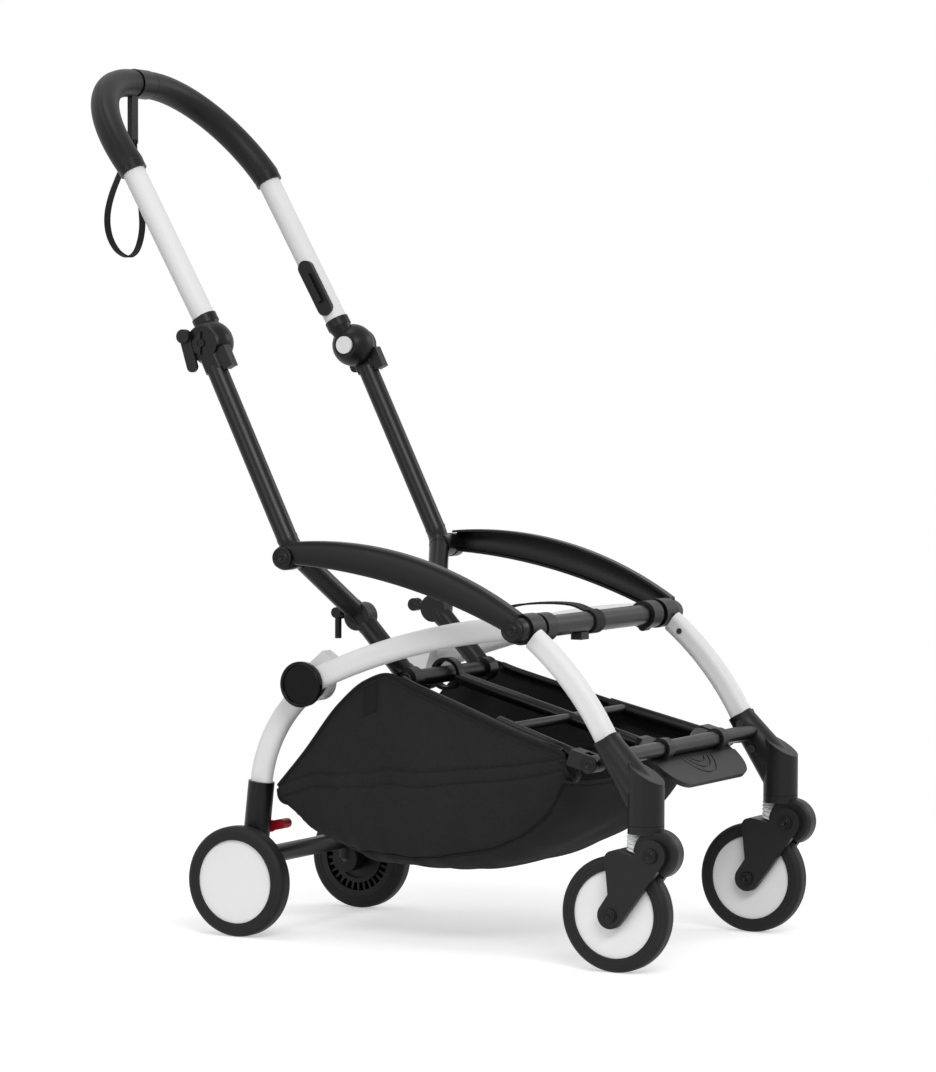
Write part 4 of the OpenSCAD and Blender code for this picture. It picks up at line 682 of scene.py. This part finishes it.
frontLoop = dict(width=0.012, thick=0.0016, step=0.002, place=0.985, down=10.0, across=(1, 0.05, 0), route=(
    (0, 2, 4), (1, -10, 2), (1, -18, -6), (1, -18, -16), (0, -10, -22), (-1, 1, -20)))
hemRod = dict(start=0.4, end=0.975, down=4.0, inset=0.0055, above=0.0035, radius=0.0048, points=24,
              step=0.004, sides=20)
tab = dict(start=0.277, end=0.325, top=6.0, deep=42.0, proud=0.0009, along=14, across=18, rim=0.1)


def basketGrid(n, m):
    at = np.linspace(0, 1, n)
    rise = basket["top"] - basket["low"]
    top = basket["low"] + rise * track(stations["place"], stations["top"], at)
    low = basket["low"] + rise * track(stations["place"], stations["low"], at)
    topHalf = track(stations["place"], stations["topHalf"], at)
    lowHalf = track(stations["place"], stations["lowHalf"], at)
    turn = np.radians(np.linspace(0, 180, basket["trace"]))
    grid, runs = np.zeros((n, m, 3)), np.zeros((n, m))
    for i in range(n):
        deep, side = np.sin(turn), np.cos(turn)
        half = basket["half"] * (topHalf[i] * (1 - deep) + lowHalf[i] * deep)
        x = half * np.sign(side) * np.abs(side) ** basket["sidePower"]
        z = top[i] - (top[i] - low[i]) * np.clip(deep, 0, 1) ** basket["deepPower"]
        run = np.concatenate([[0], np.cumsum(np.hypot(np.diff(x), np.diff(z)))])
        s = np.linspace(0, run[-1], m)
        y = basket["rear"] + (basket["front"] - basket["rear"]) * at[i]
        row = [np.interp(s, run, x), np.full(m, y - rearSet), np.interp(s, run, z)]
        grid[i] = np.stack(row, 1) / 1000
        runs[i] = s
    return at, grid, runs


def gridNormals(grid):
    normal = np.cross(np.gradient(grid, axis=0), np.gradient(grid, axis=1))
    return normal / np.maximum(np.linalg.norm(normal, axis=2, keepdims=True), 1e-9)


def onBasket(grid, runs, at, place, down, right):  # a point of the cloth, by depth below a top edge
    i = np.interp(place, at, np.arange(len(at)))
    a, b = int(i), min(int(i) + 1, len(at) - 1)
    point = []
    for k in (a, b):
        s = runs[k][-1] - down if right else down
        point.append([np.interp(s, runs[k], grid[k][:, c]) for c in range(3)])
    return np.array(point[0]) * (1 - (i - a)) + np.array(point[1]) * (i - a)


def seamLine(grid, normal, runs, at, places, downs, right, count=160):
    place = np.linspace(places[0], places[-1], count)
    down = track(places, downs, place)
    line = np.array([onBasket(grid, runs, at, p, d, right) for p, d in zip(place, down)])
    lift = np.array([onBasket(normal, runs, at, p, d, right) for p, d in zip(place, down)])
    return line, lift / np.linalg.norm(lift, axis=1)[:, None]


def tabPatch(grid, normal, runs, at, right):  # stitched patch near the top edge
    n, m = tab["along"], tab["across"]
    long = (basket["rear"] - basket["front"]) / 1000
    points, lifts, flat = [], [], []
    for i, u in enumerate(np.linspace(tab["start"], tab["end"], n)):
        for k, d in enumerate(np.linspace(tab["top"], tab["deep"], m)):
            p, q = onBasket(grid, runs, at, u, d, right), onBasket(normal, runs, at, u, d, right)
            rim = i in (0, n - 1) or k in (0, m - 1)
            points.append(p + q * (tab["proud"] * (tab["rim"] if rim else 1)))
            lifts.append(q)
            flat.append((u * long, d / 1000))
    faces = gridFaces(n, m)
    if not right:
        faces = [f[::-1] for f in faces]
    pick = [m + k for k in range(1, m - 1)] + [i * m + m - 2 for i in range(1, n - 1)]
    pick += [(n - 2) * m + k for k in range(m - 2, 0, -1)]
    return (points, faces, flat), stitchRow([points[k] for k in pick], [lifts[k] for k in pick])


def makeBasket():
    n, m = basket["along"], basket["across"]
    at, grid, runs = basketGrid(n, m)
    normal = gridNormals(grid)
    place = at[:, None] * np.ones((1, m))
    edge = np.minimum(runs, runs[:, -1:] - runs)  # depth below the nearer top edge
    ripple = np.sin(place * ripples["long"] + runs * ripples["longSkew"])
    ripple = ripple * np.sin(runs * ripples["down"] + place * ripples["downSkew"])
    ripple = ripple + ripples["fineShare"] * np.sin(place * ripples["fine"] + runs * ripples["fineSkew"])
    ease = np.clip(edge / ripples["hemFree"], 0, 1)
    ease = ease * np.clip(np.minimum(place, 1 - place) * ripples["endEase"], 0, 1)
    shape = basket["ripple"] * ripple * ease
    inside = (place > grooveEnds[0]) & (place < grooveEnds[1])
    for label, (deep, wide) in grooves.items():
        down = track(*seams[label], np.clip(at, seams[label][0][0], seams[label][0][-1]))[:, None]
        shape = shape - deep * np.exp(-((edge - down) / wide) ** 2) * inside
    grid = grid + normal * shape[..., None]
    along = np.repeat(at * (basket["rear"] - basket["front"]), m) / 1000
    flat = np.stack([along, (runs - runs[:, -1:] / 2).ravel() / 1000], 1)
    piece = newPiece("basketShell", grid.reshape(-1, 3), gridFaces(n, m), basketCloth, "seat_frame", flat)
    thick = piece.modifiers.new("cloth", "SOLIDIFY")
    thick.thickness = basket["thick"]
    thick.offset = -1 if normal[n // 2, 3, 0] > 0 else 1
    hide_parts("basket")
    normal = gridNormals(grid)
    if normal[n // 2, 3, 0] < 0:
        normal = -normal

    rows, hems = [], []
    for right in (False, True):
        for label, shift in stitchShift.items():
            places, downs = seams[label]
            rows += stitchRow(*seamLine(grid, normal, runs, at, places, [d + shift for d in downs], right))
        for down in hem["rows"]:  # double row along the hem
            downs = (down,) * len(hem["places"])
            rows += stitchRow(*seamLine(grid, normal, runs, at, hem["places"], downs, right, hem["count"]))
        top = grid[:, -1 if right else 0]
        line, _ = smoothRoute(top[::2], hem["step"])
        hems.append(tube(line, hem["side"], hem["sides"]))
    for end in (0, n - 1):  # bound edge across each end
        line, _ = smoothRoute(grid[end, ::4], hem["step"])
        hems.append(tube(line, hem["end"], hem["sides"]))
    lower = []
    for right in (False, True):  # piping where the side panels meet the floor panel
        line, lift = seamLine(grid, normal, runs, at, *seams["lower"], right, piping["count"])
        lower.append(tube(line + lift * piping["proud"], piping["radius"], piping["sides"]))
    patches, loops, rods = [], [], []
    for right in (False, True):
        patch = tabPatch(grid, normal, runs, at, right)
        patches.append(patch[0])
        rows += patch[1]
        end = onBasket(grid, runs, at, frontLoop["place"], frontLoop["down"], right)
        side = 1 if end[0] > 0 else -1
        hang = [end + np.array((side * x, y, z)) / 1000 for x, y, z in frontLoop["route"]]
        strip = smoothRoute(hang, frontLoop["step"])[0]
        loops.append(ribbon(strip, frontLoop["across"], frontLoop["width"], frontLoop["thick"]))
        shift = np.array((side * hemRod["inset"], 0, -hemRod["above"]))
        line = [onBasket(grid, runs, at, u, hemRod["down"], right) - shift
                for u in np.linspace(hemRod["start"], hemRod["end"], hemRod["points"])]
        rods.append(tube(smoothRoute(line, hemRod["step"])[0], hemRod["radius"], hemRod["sides"]))
    patchPiece = gathered("basketTabs", patches, hemCloth, "seat_frame")
    loopPiece = gathered("basketLoops", loops, webbing, "seat_frame")
    rodPiece = gathered("basketHemRods", rods, skins["blackPaint"], "seat_frame")
    threadPiece = gathered("basketStitches", rows, thread, "seat_frame")
    hemPiece = gathered("basketHem", hems, hemCloth, "seat_frame")
    pipePiece = gathered("basketPiping", lower, hemCloth, "seat_frame")
    across, down = grid[1:, :-1] - grid[:-1, :-1], grid[:-1, 1:] - grid[:-1, :-1]
    wide, long = float(runs[:, -1].max()) / 1000, float(runAlong(grid[:, m // 2])[-1])
    for part in (piece, threadPiece, hemPiece, pipePiece, patchPiece, loopPiece, rodPiece):
        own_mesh(part)


makeBasket()


# elastomers: ribbed rubber blocks that stand on the fenders and press up under the castor heads
spring = dict(ribs=4, groove=0.0016, sides=40, rise=0.305, clear=0.0012, rows=49, keep=0.7, rim=0.0006,
              sharp=50)


def makeElastomers():
    for side in ("left", "right"):
        low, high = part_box(f"elastomer_{side}")
        x, y, radius = (low[0] + high[0]) / 2, (low[1] + high[1]) / 2, (high[0] - low[0]) / 2
        foot, top = low[2] + radius * spring["rise"] + spring["clear"], high[2]
        points, flat = [], []
        for part in np.linspace(0, 1, spring["rows"]):
            wave = 0.5 - 0.5 * math.cos(2 * math.pi * spring["ribs"] * part)
            r = radius - spring["groove"] * wave ** 3 - spring["rim"] * (part in (0, 1))
            for k in range(spring["sides"]):
                a = 2 * math.pi * k / spring["sides"]
                lean = spring["rise"] * (1 - part) * r * math.sin(a)  # the foot follows the fender
                points.append((x + r * math.cos(a), y + r * math.sin(a), foot + (top - foot) * part + lean))
                flat.append((r * a, (top - foot) * part))
        n, m = spring["rows"], spring["sides"]
        faces, skin = ringFaces(n, m) + ringCaps(n, m), skins["springRubber"]
        piece = newPiece(f"elastomerBlock.{side}", points, faces, skin, f"castor_{side}", flat)
        piece.data.set_sharp_from_angle(angle=math.radians(spring["sharp"]))
        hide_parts(f"elastomer_{side}")
        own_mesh(piece)
    print("elastomers made")


makeElastomers()


# turned trim: pivot caps, hub rims, bolt sockets and tyre lines; rings give radius in metres, height in mm
capTrim = dict(rings=(
    (0.0128, 0.0), (0.0128, 0.6), (0.0118, 1.5), (0.0102, 1.5), (0.0094, 0.5), (0.0072, 0.3), (0.0066, 1.4),
    (0.0052, 1.8), (0.0030, 1.6), (0.0026, 0.2), (0.0, 0.1)))
boltTrim = dict(clevisScale=1.25, rings=(
    (0.0082, -0.6), (0.0082, 0.5), (0.0076, 1.0), (0.0062, 1.1), (0.0056, 0.6), (0.0046, 0.6), (0.0042, 1.3),
    (0.0030, 1.4), (0.0027, 0.4), (0.0, 0.3)))
tyreTrim = dict(radii=(0.0542, 0.0588), bead=0.0005, sides=72, section=(
    (1, -1), (0.8, 0.6), (0, 1), (-0.8, 0.6), (-1, -1)))
hubTrim = dict(rings=(
    (0.0264, -0.3), (0.0264, 0.5), (0.0258, 1.0), (0.0244, 1.1), (0.0236, 0.7), (0.0232, -0.3)))


def trimOn(name, node, places, rings, finish, body):
    low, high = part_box(node)
    parts = []
    for side, x in ((-1, low[0]), (1, high[0])):
        for place in places:
            centre = spot(0, *pivots[place])
            parts.append(turned((x, centre.y, centre.z), side, [(r, h / 1000) for r, h in rings]))
    piece = gathered(name, parts, skins[finish], body)


def makeTrim():
    bolt, bead = boltTrim["rings"], tyreTrim["bead"]
    trimOn("pivotCapRings", "pivot_caps", ("arm", "fore"), capTrim["rings"], "blackPlastic", "armrests")
    trimOn("hubRims", "hub_caps", ("hub",), hubTrim["rings"], "glossBlack", "seat_frame")
    for side in ("left", "right"):
        trimOn(f"armBoltSockets.{side}", f"arm_bolts_{side}", ("knuckle", "frontAxle"), bolt, "blackPlastic",
               f"fork_{side}")
    large = [(r * boltTrim["clevisScale"], h) for r, h in bolt]
    trimOn("clevisBoltSockets", "frame_screws", ("clevis",), large, "blackPlastic", "front_legs")
    trimOn("lowAxleBolts", "low_axle", ("low",), bolt, "zincSteel", "push_frame")
    for end in ("front", "rear"):
        for side in ("left", "right"):
            low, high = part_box(f"{end}_tyre_{side}")
            centre = spot(0, *pivots[f"{end}Axle"])
            parts = []
            for x, out in ((low[0], -1), (high[0], 1)):
                for r in tyreTrim["radii"]:
                    section = [(r + bead * a, bead * b) for a, b in tyreTrim["section"]]
                    parts.append(turned((x, centre.y, centre.z), out, section, tyreTrim["sides"]))
            piece = gathered(f"tyreLines.{end}.{side}", parts, skins["tyreRubber"], f"{end}_wheel_{side}")
    print("turned trim made")


makeTrim()


# studio: white sweep and soft light
studio = dict(sky=0.5, floorTone=0.8, floorGlow=0.44, clearFrom=0.75, clearTo=1.7, floorReach=14,
              floorSides=64)
lamps = dict(
    keyLamp=dict(place=(-2.5, -2.2, 2.6), aim=(0, 0, 0.5), wide=2.6, high=0.9, power=68.0),
    faceLamp=dict(place=(-3.4, 1.0, 1.2), aim=(0, 0, 0.4), wide=2.0, high=2.0, power=22.0),
    fillLamp=dict(place=(2.6, -2.4, 2.0), aim=(0, 0, 0.4), wide=1.4, high=1.4, power=24.0),
    topLamp=dict(place=(-0.4, 0.6, 3.4), aim=(0, 0, 0.4), wide=1.2, high=1.2, power=14.0),
)
plainWhite = (1, 1, 1, 1)


def aimLamp(name, place, aim, wide, high, power):
    data = bpy.data.lights.new(name, "AREA")
    data.shape, data.size, data.size_y, data.energy = "ELLIPSE", wide, high, power
    lamp = bpy.data.objects.new(name, data)
    bpy.context.scene.collection.objects.link(lamp)
    lamp.location = place
    lamp.rotation_mode = "QUATERNION"
    lamp.rotation_quaternion = (Vector(aim) - Vector(place)).to_track_quat("-Z", "Y")


def seenRays(tree):  # camera, mirror and glass rays meet the white sweep
    path = addNode(tree, "ShaderNodeLightPath")
    seen = maths(tree, "MAXIMUM", path.outputs["Is Camera Ray"], path.outputs["Is Glossy Ray"])
    return maths(tree, "MAXIMUM", seen, path.outputs["Is Transmission Ray"])


def makeStudio():
    world = bpy.data.worlds.new("studio")
    world.use_nodes = True
    bpy.context.scene.world = world
    tree = world.node_tree
    dim = tree.nodes["Background"]
    dim.inputs["Color"].default_value = plainWhite
    dim.inputs["Strength"].default_value = studio["sky"]
    white = addNode(tree, "ShaderNodeBackground", {"Color": plainWhite, "Strength": 1.0})
    pick = addNode(tree, "ShaderNodeMixShader")
    tree.links.new(seenRays(tree), pick.inputs[0])
    tree.links.new(dim.outputs[0], pick.inputs[1])
    tree.links.new(white.outputs[0], pick.inputs[2])
    tree.links.new(pick.outputs[0], tree.nodes["World Output"].inputs["Surface"])

    mesh = bpy.data.meshes.new("floor")
    reach, sides = studio["floorReach"], studio["floorSides"]
    turns = np.linspace(0, 2 * math.pi, sides, endpoint=False)
    ring = [(reach * math.cos(a), reach * math.sin(a), 0) for a in turns]
    mesh.from_pydata(ring, [], [tuple(range(sides))])
    floor = bpy.data.objects.new("floor", mesh)
    bpy.context.scene.collection.objects.link(floor)
    material = bpy.data.materials.new("paleFloor")
    material.use_nodes = True
    tree = material.node_tree
    tree.nodes.remove(tree.nodes["Principled BSDF"])
    matte = addNode(tree, "ShaderNodeBsdfDiffuse", {"Color": (studio["floorTone"],) * 3 + (1,)})
    glow = addNode(tree, "ShaderNodeEmission", {"Color": plainWhite})
    white = addNode(tree, "ShaderNodeEmission", {"Color": plainWhite})
    seen = seenRays(tree)
    tree.links.new(maths(tree, "MULTIPLY", seen, studio["floorGlow"]), glow.inputs["Strength"])
    tree.links.new(seen, white.inputs["Strength"])
    near = addNode(tree, "ShaderNodeAddShader")
    tree.links.new(matte.outputs[0], near.inputs[0])
    tree.links.new(glow.outputs[0], near.inputs[1])
    away = addNode(tree, "ShaderNodeVectorMath", operation="LENGTH")
    tree.links.new(addNode(tree, "ShaderNodeTexCoord").outputs["Object"], away.inputs[0])
    span = {"From Min": studio["clearFrom"], "From Max": studio["clearTo"]}
    fade = addNode(tree, "ShaderNodeMapRange", span, interpolation_type="SMOOTHSTEP")
    tree.links.new(away.outputs["Value"], fade.inputs["Value"])
    both = addNode(tree, "ShaderNodeMixShader")
    tree.links.new(fade.outputs["Result"], both.inputs[0])
    tree.links.new(near.outputs[0], both.inputs[1])
    tree.links.new(white.outputs[0], both.inputs[2])
    tree.links.new(both.outputs[0], tree.nodes["Material Output"].inputs["Surface"])
    mesh.materials.append(material)

    for name, lamp in lamps.items():
        aimLamp(name, **lamp)
    bpy.context.scene.view_settings.view_transform = "Standard"
    print("studio lit")


makeStudio()
